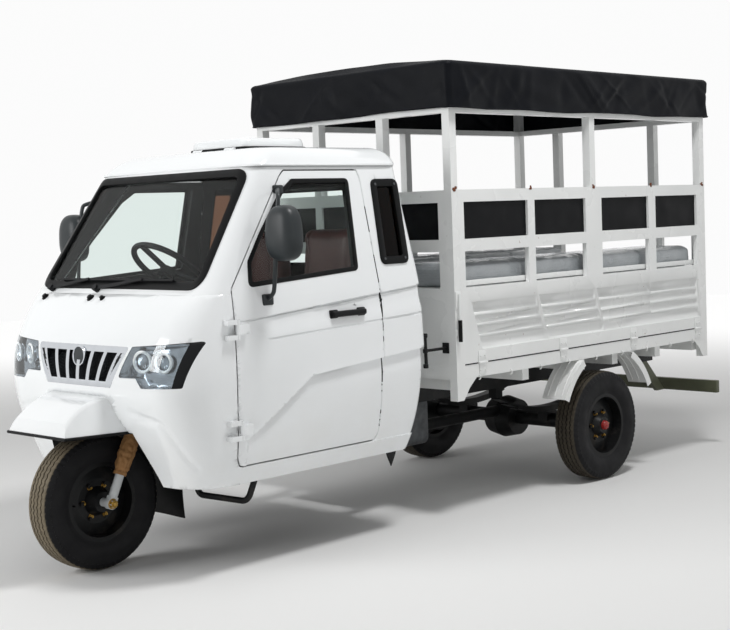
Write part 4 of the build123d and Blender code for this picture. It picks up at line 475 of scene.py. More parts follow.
def deselect() -> None:
    """Deselects everything."""
    bpy.ops.object.select_all(action="DESELECT")


def activate(piece: Piece) -> Piece:
    """Selects one object alone and makes it active.

    Args:
        piece: The object.

    Returns:
        The same object.
    """
    deselect()
    piece.select_set(True)
    bpy.context.view_layer.objects.active = piece
    return piece


def modify(piece: Piece, kind: str, **settings: Any) -> Piece:
    """Adds a modifier and applies it.

    Args:
        piece: The object.
        kind: The modifier's type.
        **settings: Its properties.

    Returns:
        The same object.
    """
    activate(piece)
    modifier = piece.modifiers.new(kind.lower(), kind)
    for key, value in settings.items():
        setattr(modifier, key, value)
    bpy.ops.object.modifier_apply(modifier=modifier.name)
    return piece


def soften(piece: Piece, width: float, segments: int = 2, angle: float = 30.0) -> Piece:
    """Bevels a piece's sharp edges and shades it smooth between them.

    Args:
        piece: The object.
        width: The bevel's width, or 0 for shading alone.
        segments: Its steps.
        angle: Edges sharper than this, in degrees, are bevelled.

    Returns:
        The same object.
    """
    if width > 0:
        limit = {"limit_method": "ANGLE", "angle_limit": math.radians(angle)}
        modify(piece, "BEVEL", width=width, segments=segments, **limit)
    activate(piece)
    bpy.ops.object.shade_smooth_by_angle(angle=math.radians(angle + 10))
    return piece


def paint(piece: Piece, material: bpy.types.Material) -> None:
    """Puts one material on a whole object."""
    piece.data.materials.clear()
    piece.data.materials.append(material)


def object_of(name: str, shape: Shape) -> Piece:
    """Makes an object of a bmesh as it is.

    Args:
        name: The piece's name.
        shape: The bmesh, which is freed.

    Returns:
        The new object.
    """
    mesh = bpy.data.meshes.new(name)
    shape.to_mesh(mesh)
    shape.free()
    piece = bpy.data.objects.new(name, mesh)
    bpy.context.scene.collection.objects.link(piece)
    return piece


def from_bmesh(name: str, shape: Shape) -> Piece:
    """Makes an object of a bmesh, its normals turned outwards."""
    bmesh.ops.recalc_face_normals(shape, faces=shape.faces)
    return object_of(name, shape)


def fill(shape: Shape, rows: Sequence[Sequence[Any]], ring: bool = True) -> None:
    """Fills the faces between rows of as many vertices.

    Args:
        shape: The bmesh.
        rows: The rows, in order.
        ring: True if the end of each row joins its start.
    """
    for lower, upper in zip(rows, rows[1:]):
        count = len(lower)
        for index in range(count if ring else count - 1):
            after = (index + 1) % count
            shape.faces.new((lower[index], lower[after], upper[after], upper[index]))


def block(name: str, low: Sequence[float], high: Sequence[float], bevel: float = 0.002) -> Piece:
    """Adds a box with its edges bevelled.

    Args:
        name: The piece's name.
        low: Its lowest corner.
        high: Its highest corner.
        bevel: The bevel's width.

    Returns:
        The box.
    """
    middle = [(a + b) / 2 for a, b in zip(low, high)]
    deselect()
    bpy.ops.mesh.primitive_cube_add(size=1, location=middle)
    piece = bpy.context.active_object
    piece.name = name
    piece.scale = [b - a for a, b in zip(low, high)]
    bpy.ops.object.transform_apply(location=True, rotation=True, scale=True)
    return soften(piece, bevel)


def prism(
    name: str,
    foot: Sequence[float],
    direction: Sequence[float],
    radius: float,
    length: float,
    sides: int,
    bevel: float,
) -> Piece:
    """Adds a round or many-sided bar with its edges bevelled.

    Args:
        name: The piece's name.
        foot: Middle of its lower end.
        direction: Where it points.
        radius: Its radius.
        length: Its length.
        sides: Its sides.
        bevel: The bevel's width.

    Returns:
        The bar.
    """
    axis = Vector(direction).normalized()
    deselect()
    bpy.ops.mesh.primitive_cylinder_add(vertices=sides, radius=radius, depth=length)
    piece = bpy.context.active_object
    piece.name = name
    turn = axis.to_track_quat("Z", "Y").to_matrix().to_4x4()
    piece.matrix_world = Matrix.Translation(Vector(foot) + axis * length / 2) @ turn
    bpy.ops.object.transform_apply(location=True, rotation=True, scale=True)
    return soften(piece, bevel)


def wires(
    name: str,
    lines: Sequence[Sequence[Sequence[float]]],
    radius: float,
    resolution: int = 3,
    capped: bool = True,
    closed: bool = False,
    smooth: bool = False,
) -> Piece:
    """Lays round wires along lines of points.

    Args:
        name: The piece's name.
        lines: The points of each wire.
        radius: The wires' radius.
        resolution: Blender's steps round a quarter of a wire.
        capped: True if the ends are filled.
        closed: True if the last point joins the first.
        smooth: True if a wire curves between its points.

    Returns:
        The wires as one mesh.
    """
    curve = bpy.data.curves.new(name, "CURVE")
    curve.dimensions = "3D"
    curve.bevel_depth = radius
    curve.bevel_resolution = resolution
    curve.use_fill_caps = capped
    for points in lines:
        spline = curve.splines.new("NURBS" if smooth else "POLY")
        spline.points.add(len(points) - 1)
        for knot, point in zip(spline.points, points):
            knot.co = (*point, 1.0)
        if smooth:
            spline.order_u = 3
            spline.use_endpoint_u = True
            spline.resolution_u = 6
        spline.use_cyclic_u = closed
    piece = bpy.data.objects.new(name, curve)
    bpy.context.scene.collection.objects.link(piece)
    activate(piece)
    bpy.ops.object.convert(target="MESH")
    return bpy.context.active_object


def tube(
    name: str, points: Sequence[Sequence[float]], radius: float, closed: bool = False, smooth: bool = False
) -> Piece:
    """One wire as a softly shaded tube."""
    return soften(wires(name, [points], radius, capped=not closed, closed=closed, smooth=smooth), 0.0)


def lathe(
    name: str, profile: Sequence[Flat], centre: Sequence[float], direction: Sequence[float], steps: int = 48
) -> Piece:
    """Spins a (radius, along) profile about an axis through a centre.

    Args:
        name: The piece's name.
        profile: Points of the profile.
        centre: A point of the axis, where along is zero.
        direction: The axis.
        steps: Steps round the axis.

    Returns:
        The spun piece.
    """
    axis = Vector(direction).normalized()
    out = axis.orthogonal().normalized()
    shape = bmesh.new()
    verts = [shape.verts.new(Vector(centre) + out * r + axis * a) for r, a in profile]
    for first, second in zip(verts, verts[1:]):
        shape.edges.new((first, second))
    piece = activate(object_of(name, shape))
    bpy.ops.object.mode_set(mode="EDIT")
    bpy.ops.mesh.select_all(action="SELECT")
    bpy.ops.mesh.spin(steps=steps, angle=math.tau, center=centre, axis=axis)
    bpy.ops.mesh.select_all(action="SELECT")
    bpy.ops.mesh.remove_doubles(threshold=MERGE)
    bpy.ops.mesh.normals_make_consistent(inside=False)
    bpy.ops.object.mode_set(mode="OBJECT")
    return soften(piece, 0.0)


def join(name: str, parts: Iterable[Piece]) -> Piece:
    """Joins objects into one piece.

    Args:
        name: The piece's name.
        parts: The objects.

    Returns:
        The piece.
    """
    group = list(parts)
    deselect()
    for part in group:
        part.select_set(True)
    bpy.context.view_layer.objects.active = group[0]
    if len(group) > 1:
        bpy.ops.object.join()
    piece = bpy.context.active_object
    piece.name = name
    return piece


def copied(piece: Piece, name: str, move: Matrix) -> Piece:
    """Copies an object with its own mesh, its faces outwards.

    Args:
        piece: The object.
        name: The copy's name.
        move: Moves the copy's mesh.

    Returns:
        The copy.
    """
    twin = piece.copy()
    twin.data = piece.data.copy()
    twin.name = name
    twin.data.transform(move)
    if move.determinant() < 0:
        twin.data.flip_normals()
    bpy.context.scene.collection.objects.link(twin)
    return twin


def other_side(piece: Piece, name: str) -> Piece:
    """A copy on the other side of the centre plane."""
    return copied(piece, name, Matrix.Scale(-1, 4, (0, 1, 0)))


def merged_copy(node: str, name: str) -> Piece:
    """Copies a CAD node and merges the copy's doubles.

    Args:
        node: The CAD node.
        name: The copy's name.

    Returns:
        The copy.
    """
    piece = activate(copied(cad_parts[node], name, Matrix.Identity(4)))
    bpy.ops.object.mode_set(mode="EDIT")
    bpy.ops.mesh.select_all(action="SELECT")
    bpy.ops.mesh.remove_doubles(threshold=MERGE)
    bpy.ops.object.mode_set(mode="OBJECT")
    return piece


def dress(
    piece: Piece, finish: Finish, body: Body = Body.MAIN, replaced: Sequence[str] = ()
) -> Piece:
    """Gives a piece its finish, body and the CAD nodes it stands for.

    Args:
        piece: The finished piece.
        finish: Its finish.
        body: The body it rides on.
        replaced: CAD nodes that it stands for.

    Returns:
        The same piece.
    """
    paint(piece, PALETTE.get(finish))
    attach(piece, body.value)
    if replaced:
        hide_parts(*replaced)
    LOG.info("piece %s on %s: %d faces", piece.name, body.value, len(piece.data.polygons))
    return piece


def dress_pair(
    left: Piece, finish: Finish, doors: bool = False, replaced: Sequence[str] = ()
) -> tuple[Piece, Piece]:
    """Dresses a left piece and its copy on the right.

    Args:
        left: The left piece, with that word in its name.
        finish: Their finish.
        doors: True if they ride on the doors.
        replaced: CAD nodes that the left one stands for; of these the right one takes the right-hand nodes.

    Returns:
        Both pieces.
    """
    right = other_side(left, left.name.replace("left", "right"))
    dress(left, finish, Body.LEFT_DOOR if doors else Body.MAIN, replaced)
    nodes = [node.replace("left", "right") for node in replaced if "left" in node]
    dress(right, finish, Body.RIGHT_DOOR if doors else Body.MAIN, nodes)
    return left, right


def grown(points: Sequence[Flat], amount: float) -> list[Flat]:
    """Moves a convex outline outwards.

    Args:
        points: Its corners, in order.
        amount: How far it moves; less than zero is inwards.

    Returns:
        The moved corners.
    """
    area = sum(a[0] * b[1] - b[0] * a[1] for a, b in zip(points, [*points[1:], points[0]]))
    sign = 1 if area > 0 else -1
    result = []
    count = len(points)
    for index in range(count):
        before, here, after = (Vector(points[(index + step) % count]) for step in (-1, 0, 1))
        first, second = (here - before).normalized(), (after - here).normalized()
        n1, n2 = Vector((first.y, -first.x)) * sign, Vector((second.y, -second.x)) * sign
        push = (n1 + n2) / (1 + n1.dot(n2))
        result.append(tuple(here + push * amount))
    return result


def rounded(points: Sequence[Flat], radius: float, steps: int = 7) -> list[Flat]:
    """Rounds an outline's corners.

    Args:
        points: Its corners, in order.
        radius: Radius of the rounding.
        steps: Steps of each corner.

    Returns:
        The points of the rounded outline.
    """
    result: list[Flat] = []
    count = len(points)
    for index in range(count):
        before, here, after = (Vector(points[(index + step) % count]) for step in (-1, 0, 1))
        into, out = (before - here).normalized(), (after - here).normalized()
        half = into.angle(out) / 2
        reach = min(radius / math.tan(half), (before - here).length / 2.1, (after - here).length / 2.1)
        start, end = here + into * reach, here + out * reach
        for step in range(steps + 1):
            share = step / steps
            point = start * (1 - share) ** 2 + here * 2 * share * (1 - share) + end * share**2
            result.append(tuple(point))
    return result


def frame_band(
    name: str,
    outer: Sequence[Vector],
    inner: Sequence[Vector],
    out: Callable[[Vector], Vector],
    rise: float,
    sink: float,
) -> Piece:
    """A closed band between two loops of as many points, raised and sunk along a direction.

    Args:
        name: The piece's name.
        outer: The outer loop.
        inner: The inner loop.
        out: Gives the outward direction at a point.
        rise: How far it stands proud.
        sink: How far it goes in.

    Returns:
        The band.
    """
    shape = bmesh.new()
    levels = ((outer, -sink), (outer, rise), (inner, rise), (inner, -sink))
    rings = [[shape.verts.new(p + out(p) * height) for p in loop] for loop, height in levels]
    fill(shape, [*rings, rings[0]])
    return soften(from_bmesh(name, shape), min(rise + sink, 0.008) * 0.35, 2, 40)


def skin_tree(*nodes: str) -> BVHTree:
    """Builds a search tree of CAD nodes' faces, for setting pieces on their skin.

    Args:
        *nodes: The nodes' names.

    Returns:
        The tree.
    """
    verts: list[Vector] = []
    faces: list[list[int]] = []
    for name in nodes:
        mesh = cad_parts[name].data
        start = len(verts)
        verts.extend(v.co.copy() for v in mesh.vertices)
        faces.extend([start + i for i in p.vertices] for p in mesh.polygons)
    return BVHTree.FromPolygons(verts, faces)


def ahead(tree: BVHTree, y: float, z: float) -> tuple[Any, ...]:
    """What a look from the front at (Y, Z) meets first: its place, its normal and more."""
    return tree.ray_cast(Vector((3.0, y, z)), Vector((-1, 0, 0)))


@dataclass
class Studio:
    """Floor, light and camera.

    Attributes:
        camera_place: Where the camera stands.
        camera_turn: Its turn about X, Y and Z, in degrees.
        lens: Focal length in millimetres on a 36 mm sensor.
        floor_half: Half the floor's width.
        floor_colour: Its colour.
        glow_span: Distances from the middle between which the floor fades to white.
        glow: The floor's own light at the far one.
        world_light: Strength of the world as light.
        world_seen: Strength of the world as seen, also in gloss and through glass.
        lamps: Name, place, size and watts of each lamp.
    """

    camera_place: Point = (5.1278, 4.8808, 1.4353)
    camera_turn: Point = (85.8708, 2.1331, 134.3945)
    lens: float = 69.044
    floor_half: float = 14.0
    floor_colour: str = "EFEFEE"
    glow_span: Flat = (3.2, 10.0)
    glow: float = 0.62
    world_light: float = 0.36
    world_seen: float = 0.97
    lamps: tuple[tuple[str, Point, float, float], ...] = (
        ("key", (6.0, -2.0, 2.8), 2.6, 150.0),
        ("side", (0.4, 2.2, 5.4), 0.9, 135.0),
        ("fill", (1.5, 5.8, 2.4), 3.0, 8.0),
    )

    def build(self) -> None:
        """Builds the whole studio."""
        self.build_camera()
        self.build_floor()
        self.build_light()

    def build_camera(self) -> None:
        """Sets the camera at the viewing angle."""
        data = bpy.data.cameras.new("camera")
        data.lens = self.lens
        data.sensor_width = 36.0
        camera = bpy.data.objects.new("camera", data)
        camera.location = self.camera_place
        camera.rotation_euler = [math.radians(a) for a in self.camera_turn]
        bpy.context.scene.collection.objects.link(camera)
        bpy.context.scene.camera = camera

    def build_floor(self) -> None:
        """Lays a plain pale floor that fades into the white behind it."""
        deselect()
        bpy.ops.mesh.primitive_plane_add(size=2 * self.floor_half, location=(0, 0, -0.001))
        floor = bpy.context.active_object
        floor.name = "floor"
        material, tree = new_material("pale_floor")
        place = add_node(tree, "TexCoord", out="Object")
        away = add_node(tree, "VectorMath", {0: place}, "Value", operation="LENGTH")
        near, far = self.glow_span
        span = {"Value": away, "From Min": near, "From Max": far, "To Min": 0.0, "To Max": self.glow}
        glow = add_node(tree, "MapRange", span, "Result", interpolation_type="SMOOTHSTEP")
        values = {"Base Color": linear(self.floor_colour), "Roughness": 0.75, "Specular IOR Level": 0.2}
        values |= {"Emission Color": WHITE, "Emission Strength": glow}
        shader = add_node(tree, "BsdfPrincipled", values, "BSDF")
        add_node(tree, "OutputMaterial", {"Surface": shader})
        paint(floor, material)

    def build_light(self) -> None:
        """Sets a pale world and soft lamps."""
        world = bpy.data.worlds.new("studio")
        bpy.context.scene.world = world
        world.use_nodes = True
        tree = world.node_tree
        tree.nodes.clear()
        path = add_node(tree, "LightPath")
        seen = path.outputs["Is Camera Ray"]
        for kind in ("Is Glossy Ray", "Is Transmission Ray"):
            seen = add_node(tree, "Math", {0: seen, 1: path.outputs[kind]}, 0, operation="MAXIMUM")
        span = {"Value": seen, "To Min": self.world_light, "To Max": self.world_seen}
        strength = add_node(tree, "MapRange", span, "Result")
        sky = add_node(tree, "Background", {"Color": WHITE, "Strength": strength}, "Background")
        add_node(tree, "OutputWorld", {"Surface": sky})
        for name, place, size, watts in self.lamps:
            lamp = bpy.data.lights.new(name, "AREA")
            lamp.energy = watts
            lamp.size = size
            holder = bpy.data.objects.new(name, lamp)
            holder.location = place
            aim = Vector((0, 0, 0.9)) - Vector(place)
            holder.rotation_euler = aim.to_track_quat("-Z", "Y").to_euler()
            bpy.context.scene.collection.objects.link(holder)
        bpy.context.scene.view_settings.view_transform = "Standard"


@dataclass
class CadFinishes:
    """Finishes of the CAD nodes that stay in sight.

    Attributes:
        table: Node names by finish.
    """

    table: tuple[tuple[Finish, str], ...] = (
        (Palette.CAB_PAINT, "door_hinges windscreen_frame cab_back cab_roof front_mudguard"),
        (Palette.BED_PAINT, "headboard bed_posts canopy_rails canopy_bows benches rear_panels"),
        (Palette.BED_PAINT, "rear_mudguards tailgate bed_floor bed_cross_members"),
        (Palette.CHASSIS_PAINT, "frame cab_floor side_steps rear_axle leaf_springs driveshaft"),
        (Palette.CHASSIS_PAINT, "front_rim rear_left_rim rear_right_rim"),
        (Palette.BLACK_ABS, "wipers dashboard steering_column steering_wheel"),
        (Palette.CHROME, "grille"),
        (Palette.RED_LENS, "tail_lamps"),
        (Palette.CAST_METAL, "engine"),
        (Palette.FORK_PAINT, "fork"),
        (Palette.BUMPER_PAINT, "rear_bumper"),
    )

    def build(self) -> None:
        """Assigns each node its finish, and the panes their glass."""
        for finish, nodes in self.table:
            for name in nodes.split():
                paint(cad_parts[name], PALETTE.get(finish))
        glass = WindowGlass()
        paint(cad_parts["cab_glass"], glass.build(True))
        door_glass = glass.build(False)
        for name in ("door_glass_left", "door_glass_right"):
            paint(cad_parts[name], door_glass)


@dataclass
class Wheel:
    """One tyre with its tread, and the fittings of its rim.

    Attributes:
        name: Which wheel.
        body: The body it rides on.
        centre: The wheel's middle.
        face: Sign of Y on the outer side.
        disc: Outer face of the disc, from the middle.
        dusty: How dusty the tread is.
        radius: The tyre's radius.
        rim_radius: Radius of the rim's seat.
        half_width: Half the tyre's width.
        rim_half: Half the rim's width.
        groove_depth: Depth of the tread.
        pitches: Zigzags round the tread.
        nut_circle: Radius of the circle of nuts.
        nut_count: How many nuts.
    """

    name: str
    body: Body
    centre: Point
    face: int
    disc: float
    dusty: float
    radius: float = 0.285
    rim_radius: float = 0.1523
    half_width: float = 0.0725
    rim_half: float = 0.054
    groove_depth: float = 0.0065
    pitches: int = 64
    nut_circle: float = 0.07
    nut_count: int = 6

    def columns(self) -> list[tuple[float, float, float, int]]:
        """Lays out the columns across the tyre.

        Returns:
            Each one's radius, place across, share in the zigzag, and kind: 1 on ribs, 2 on shoulders and 0
            elsewhere.
        """
        r, w = self.radius, self.half_width
        side = [
            (self.rim_radius, -self.rim_half, 0.0, 0),
            (self.rim_radius + 0.012, -self.rim_half - 0.004, 0.0, 0),
            (self.rim_radius + 0.022, -self.rim_half - 0.006, 0.0, 0),
            (self.rim_radius + 0.028, -self.rim_half - 0.0095, 0.0, 0),
            (self.rim_radius + 0.045, -w + 0.003, 0.0, 0),
            (self.rim_radius + 0.062, -w, 0.0, 0),
            (r - 0.056, -w + 0.0005, 0.0, 0),
            (r - 0.04, -w + 0.002, 0.0, 0),
            (r - 0.0265, -w + 0.004, 0.0, 0),
            (r - 0.025, -w + 0.0035, 0.0, 2),
            (r - 0.013, -w + 0.008, 0.0, 2),
            (r - 0.0065, -w + 0.0135, 0.0, 2),
            (r - 0.004, -w + 0.018, 0.0, 1),
        ]
        tread = []
        for middle in (-0.036, -0.0125, 0.0125, 0.036):
            crown = 0.004 * (middle / 0.0525) ** 2
            tread += [
                (r - crown, middle - 0.0034, 1.0, 1),
                (r - crown - self.groove_depth, middle - 0.0022, 1.0, 0),
                (r - crown - self.groove_depth, middle + 0.0022, 1.0, 0),
                (r - crown, middle + 0.0034, 1.0, 1),
            ]
        return side + tread + [(radius, -across, 0.0, kind) for radius, across, _, kind in reversed(side)]

    def build(self) -> None:
        """Builds the tyre and the rim's fittings."""
        self.build_tyre()
        self.build_nuts()
        self.build_cap()

    def build_tyre(self) -> None:
        """Builds the tyre with zigzag grooves and notched shoulders."""
        columns = self.columns()
        shape = bmesh.new()
        layer = shape.verts.layers.float.new("dust")
        steps = self.pitches * 4
        rng = random.Random(7)
        rings = []
        for step in range(steps):
            angle = math.tau * step / steps
            phase = step % 4
            wave = (0.0, 1.0, 0.0, -1.0)[phase] * 0.0034
            ring = []
            for radius, across, zigzag, kind in columns:
                notch = 0.0045 if kind == 2 and phase == 0 else 0.0
                away = radius - notch
                vert = shape.verts.new(
                    Vector(self.centre)
                    + Vector((math.cos(angle) * away, across + wave * zigzag, math.sin(angle) * away))
                )
                vert[layer] = self.dusty * (0.65 + 0.35 * rng.random()) if kind == 1 else 0.0
                ring.append(vert)
            rings.append(ring)
        for first, second in zip(rings, rings[1:] + rings[:1]):
            for index in range(len(columns) - 1):
                shape.faces.new((first[index], second[index], second[index + 1], first[index + 1]))
            shape.faces.new((first[-1], second[-1], second[0], first[0]))
        piece = soften(from_bmesh(f"{self.name}_tread_tyre", shape), 0.0, angle=25)
        dress(piece, Palette.TYRE_RUBBER, self.body, (f"{self.name}_tyre",))

    def build_nuts(self) -> None:
        """Builds the plated wheel nuts on their studs, and the valve."""
        parts = []
        x, y, z = self.centre
        way = (0, self.face, 0)
        base = y + self.face * self.disc
        for index in range(self.nut_count):
            angle = math.tau * index / self.nut_count
            spot = (x + math.cos(angle) * self.nut_circle, base, z + math.sin(angle) * self.nut_circle)
            nut = prism(f"nut{index}", spot, way, 0.0095, 0.011, 6, 0.001)
            stud = prism(f"stud{index}", spot, way, 0.0045, 0.017, 12, 0.0008)
            washer = prism(f"washer{index}", spot, way, 0.0115, 0.0025, 24, 0.0005)
            parts += [nut, stud, washer]
        nuts = join(f"{self.name}_wheel_nuts", parts)
        dress(nuts, Palette.ZINC, self.body)
        spot = (x + 0.128, base - self.face * 0.012, z)
        bend = (spot[0], spot[1] + self.face * 0.014, z)
        tip = (spot[0] - 0.006, spot[1] + self.face * 0.034, z)
        stem = tube(f"{self.name}_valve", [spot, bend, tip], 0.0038)
        dress(stem, Palette.SEAL_RUBBER, self.body)

    def build_cap(self) -> None:
        """Builds the red grease cap of a rear hub."""
        if self.body is Body.FRONT_WHEEL:
            return
        start = 0.05
        profile = [(0.0005, 0.022), (0.012, 0.022), (0.0185, 0.0195)]
        profile += [(0.0225, 0.013), (0.024, 0.0), (0.026, -0.004)]
        centre = (self.centre[0], self.centre[1] + self.face * start, self.centre[2])
        cap = lathe(f"{self.name}_hub_cap", profile, centre, (0, self.face, 0), 32)
        dress(cap, Palette.HUB_RED, self.body)


@dataclass
class ForkDressing:
    """Paper wraps on the fork's legs and the plated axle nuts.

    Attributes:
        half: Centre plane to a leg.
        start: Where a wrap starts along the leg, from the axle.
        end: Where it ends.
        radius: Its radius.
    """

    half: float = 0.115
    start: float = 0.122
    end: float = 0.308
    radius: float = 0.0275

    def along(self, place: float, side: Side) -> Vector:
        """A point of a leg's axis at a place along it."""
        x, z = FRONT_AXLE_X - place * math.sin(RAKE), AXLE_Z + place * math.cos(RAKE)
        return Vector((x, side.value * self.half, z))

    def build(self) -> None:
        """Builds both wraps and the nuts."""
        wraps = [self.wrap(side) for side in Side]
        dress(join("fork_paper_wraps", wraps), Palette.KRAFT, Body.STEERING, ("fork_covers",))
        nuts = []
        for side in Side:
            foot = Vector((FRONT_AXLE_X, side.value * 0.128, AXLE_Z))
            nuts.append(prism("axle_nut", foot, (0, side.value, 0), 0.0185, 0.0155, 6, 0.0015))
            nuts.append(prism("axle_washer", foot, (0, side.value, 0), 0.022, 0.0035, 28, 0.0008))
            nuts.append(prism("axle_end", foot, (0, side.value, 0), 0.0105, 0.0225, 20, 0.0015))
        dress(join("fork_axle_nuts", nuts), Palette.ZINC, Body.STEERING)

    def wrap(self, side: Side) -> Piece:
        """Builds one creased paper wrap.

        Args:
            side: Which leg.

        Returns:
            The wrap.
        """
        rows, around = 46, 56
        first, last = self.along(self.start, side), self.along(self.end, side)
        axis = (last - first).normalized()
        out = Vector((0, 1, 0))
        ahead = axis.cross(out)
        shape = bmesh.new()
        rings = []
        for row in range(rows + 1):
            share = row / rows
            belly = 0.0045 * math.sin(math.pi * share) - 0.003 * (1 - share) ** 3
            ring = []
            for step in range(around):
                angle = math.tau * step / around
                spot = Vector((math.cos(angle) * 2.2, math.sin(angle) * 2.2, share * 7 + side.value * 9))
                crease = abs(noise.noise(spot)) * 0.0075 + abs(noise.noise(spot * 2.7)) * 0.0035
                tie = -0.0045 * math.exp(-(((share - 0.1) / 0.03) ** 2))
                away = self.radius + belly + crease + tie
                point = first.lerp(last, share) + (ahead * math.cos(angle) + out * math.sin(angle)) * away
                ring.append(shape.verts.new(point))
            rings.append(ring)
        fill(shape, rings)
        piece = from_bmesh("wrap", shape)
        modify(piece, "SOLIDIFY", thickness=0.0012, offset=-1.0)
        return soften(piece, 0.0, angle=45)


@dataclass
class Canopy:
    """The tarpaulin over the bed's bows: one sheet with a sagging top and a creased skirt.

    Attributes:
        rear: X of its back.
        front: X of its front.
        half: Half its width.
        hem: Height of the skirt's hem.
        eave: Height of its upper edge.
        crown: How much its middle stands above the edge.
        roll: Radius of that edge.
        corner: Radius of the upright corners.
        bows: X of the bows that carry it.
        skirt: The skirt's height in the flat sheet; not used.
        per_metre: Points along a metre of the outline.
        skirt_rows: Rows of the skirt.
        top_rows: Rows of the top.
    """

    rear: float = -1.974
    front: float = 0.276
    half: float = 0.6885
    hem: float = 1.905
    eave: float = 2.121
    crown: float = 0.026
    roll: float = 0.022
    corner: float = 0.03
    bows: tuple[float, ...] = (-1.9255, -1.387, -0.849, -0.311, 0.2275)
    skirt: float = 0.21
    per_metre: int = 64
    skirt_rows: int = 26
    top_rows: int = 30

    def loop(self, inset: float) -> list[Flat]:
        """Draws the plan outline.

        Args:
            inset: How far it is drawn in.

        Returns:
            Its points, always as many.
        """
        a = (self.front - self.rear) / 2 - inset
        b = self.half - inset
        middle = (self.front + self.rear) / 2
        radius = max(min(self.corner, b), 0.001)
        counts = (int((2 * a + 2 * inset) * self.per_metre), int(2 * self.half * self.per_metre))
        points: list[Flat] = []
        corners = [(a, b, 0), (-a, b, 90), (-a, -b, 180), (a, -b, 270)]
        arc = 6
        for index, (cx, cy, start) in enumerate(corners):
            ox, oy = cx - math.copysign(radius, cx), cy - math.copysign(radius, cy)
            for step in range(arc + 1):
                angle = math.radians(start + 90 * step / arc)
                points.append((middle + ox + radius * math.cos(angle), oy + radius * math.sin(angle)))
            nx, ny, nstart = corners[(index + 1) % 4]
            nox, noy = nx - math.copysign(radius, nx), ny - math.copysign(radius, ny)
            angle = math.radians(nstart)
            goal = (middle + nox + radius * math.cos(angle), noy + radius * math.sin(angle))
            last = points[-1]
            count = counts[0] if index % 2 == 0 else counts[1]
            for step in range(1, count):
                share = step / count
                points.append((last[0] + (goal[0] - last[0]) * share, last[1] + (goal[1] - last[1]) * share))
        return points

    def top_height(self, x: float, y: float) -> float:
        """Works out the height of the cloth over the bows, sagging between them.

        Args:
            x: Place along the bed.
            y: Place across it.

        Returns:
            The height.
        """
        share = max(0.0, 1 - (y / self.half) ** 2)
        sag = 0.0
        for first, second in zip(self.bows, self.bows[1:]):
            if first < x < second:
                sag = math.sin(math.pi * (x - first) / (second - first)) ** 2
        return self.eave + self.crown * share - 0.016 * sag * share + 0.003 * noise.noise((x * 5, y * 5, 1.0))

    def folds(self) -> list[Fold]:
        """Draws the creases of the skirt.

        Returns:
            Each one's place along the outline, slant, width and depth.
        """
        rng = random.Random(21)
        rim = 2 * (self.front - self.rear) + 4 * self.half
        spans = ((0, rim), (-0.32, 0.32), (0.012, 0.04), (-0.007, 0.008))
        return [tuple(rng.uniform(*span) for span in spans) for _ in range(110)]

    def skirt_push(self, run: float, drop: float, folds: list[Fold]) -> float:
        """Works out how far the skirt stands out.

        Args:
            run: Place along the outline.
            drop: 0 at the upper edge and 1 at the hem.
            folds: The skirt's creases.

        Returns:
            How far it stands out there.
        """
        push = 0.007 * drop * math.sin(run * 11.0 + 1.3 * math.sin(run * 3.1))
        push += 0.012 * drop * noise.noise((run * 2.6, drop * 1.2, 4.0))
        push += 0.004 * noise.noise((run * 9.0, drop * 3.0, 8.0))
        for place, slant, width, depth in folds:
            gap = run - place - slant * (drop - 0.5)
            if abs(gap) < 3 * width:
                hang = 0.25 + 0.75 * math.sin(math.pi * min(drop, 0.98))
                push += depth * math.exp(-((gap / width) ** 2)) * hang
        return push

    def build(self) -> None:
        """Builds the sheet and its hem."""
        shape = bmesh.new()
        folds = self.folds()
        outline = self.loop(0.0)
        runs = [0.0]
        for first, second in zip(outline, outline[1:]):
            runs.append(runs[-1] + (Vector(second) - Vector(first)).length)
        rows: list[list[Any]] = []
        for row in range(self.skirt_rows + 1):
            drop = 1 - row / self.skirt_rows
            ring = []
            for index, (x, y) in enumerate(outline):
                out = self.outward(outline, index)
                push = self.skirt_push(runs[index], drop, folds) - 0.004 * drop
                hem = self.hem_height(runs[index])
                top = self.eave - self.roll
                height = hem + (top - hem) * (1 - drop)
                ring.append(shape.verts.new((x + out.x * push, y + out.y * push, height)))
            rows.append(ring)
        for step in range(1, 6):
            angle = math.radians(90 * step / 5)
            inset = self.roll * (1 - math.cos(angle))
            rise = self.roll * math.sin(angle)
            rows.append([shape.verts.new((x, y, self.eave - self.roll + rise)) for x, y in self.loop(inset)])
        for step in range(1, self.top_rows + 1):
            inset = self.roll + (self.half - self.roll - 0.004) * step / self.top_rows
            rows.append([shape.verts.new((x, y, self.top_height(x, y))) for x, y in self.loop(inset)])
        fill(shape, rows)
        lid = shape.faces.new(rows[-1])
        bmesh.ops.triangulate(shape, faces=[lid])
        piece = from_bmesh("canopy_tarpaulin", shape)
        modify(piece, "SOLIDIFY", thickness=0.0022, offset=-1.0)
        soften(piece, 0.0, angle=60)
        dress(piece, Palette.TARPAULIN, replaced=("canopy",))
        hem = self.build_hem(outline, runs, folds)

    def outward(self, outline: list[Flat], index: int) -> Vector:
        """Finds the direction out of the outline at one of its points.

        Args:
            outline: The plan outline.
            index: Which point.

        Returns:
            The direction.
        """
        along = (Vector(outline[(index + 1) % len(outline)]) - Vector(outline[index - 1])).normalized()
        out = Vector((along.y, -along.x))
        centre = Vector(((self.front + self.rear) / 2, 0))
        return -out if out.dot(Vector(outline[index]) - centre) < 0 else out

    def hem_height(self, run: float) -> float:
        """Height of the uneven hem at a place along it."""
        return self.hem + 0.007 * noise.noise((run * 3.3, 2.0, 0.5))

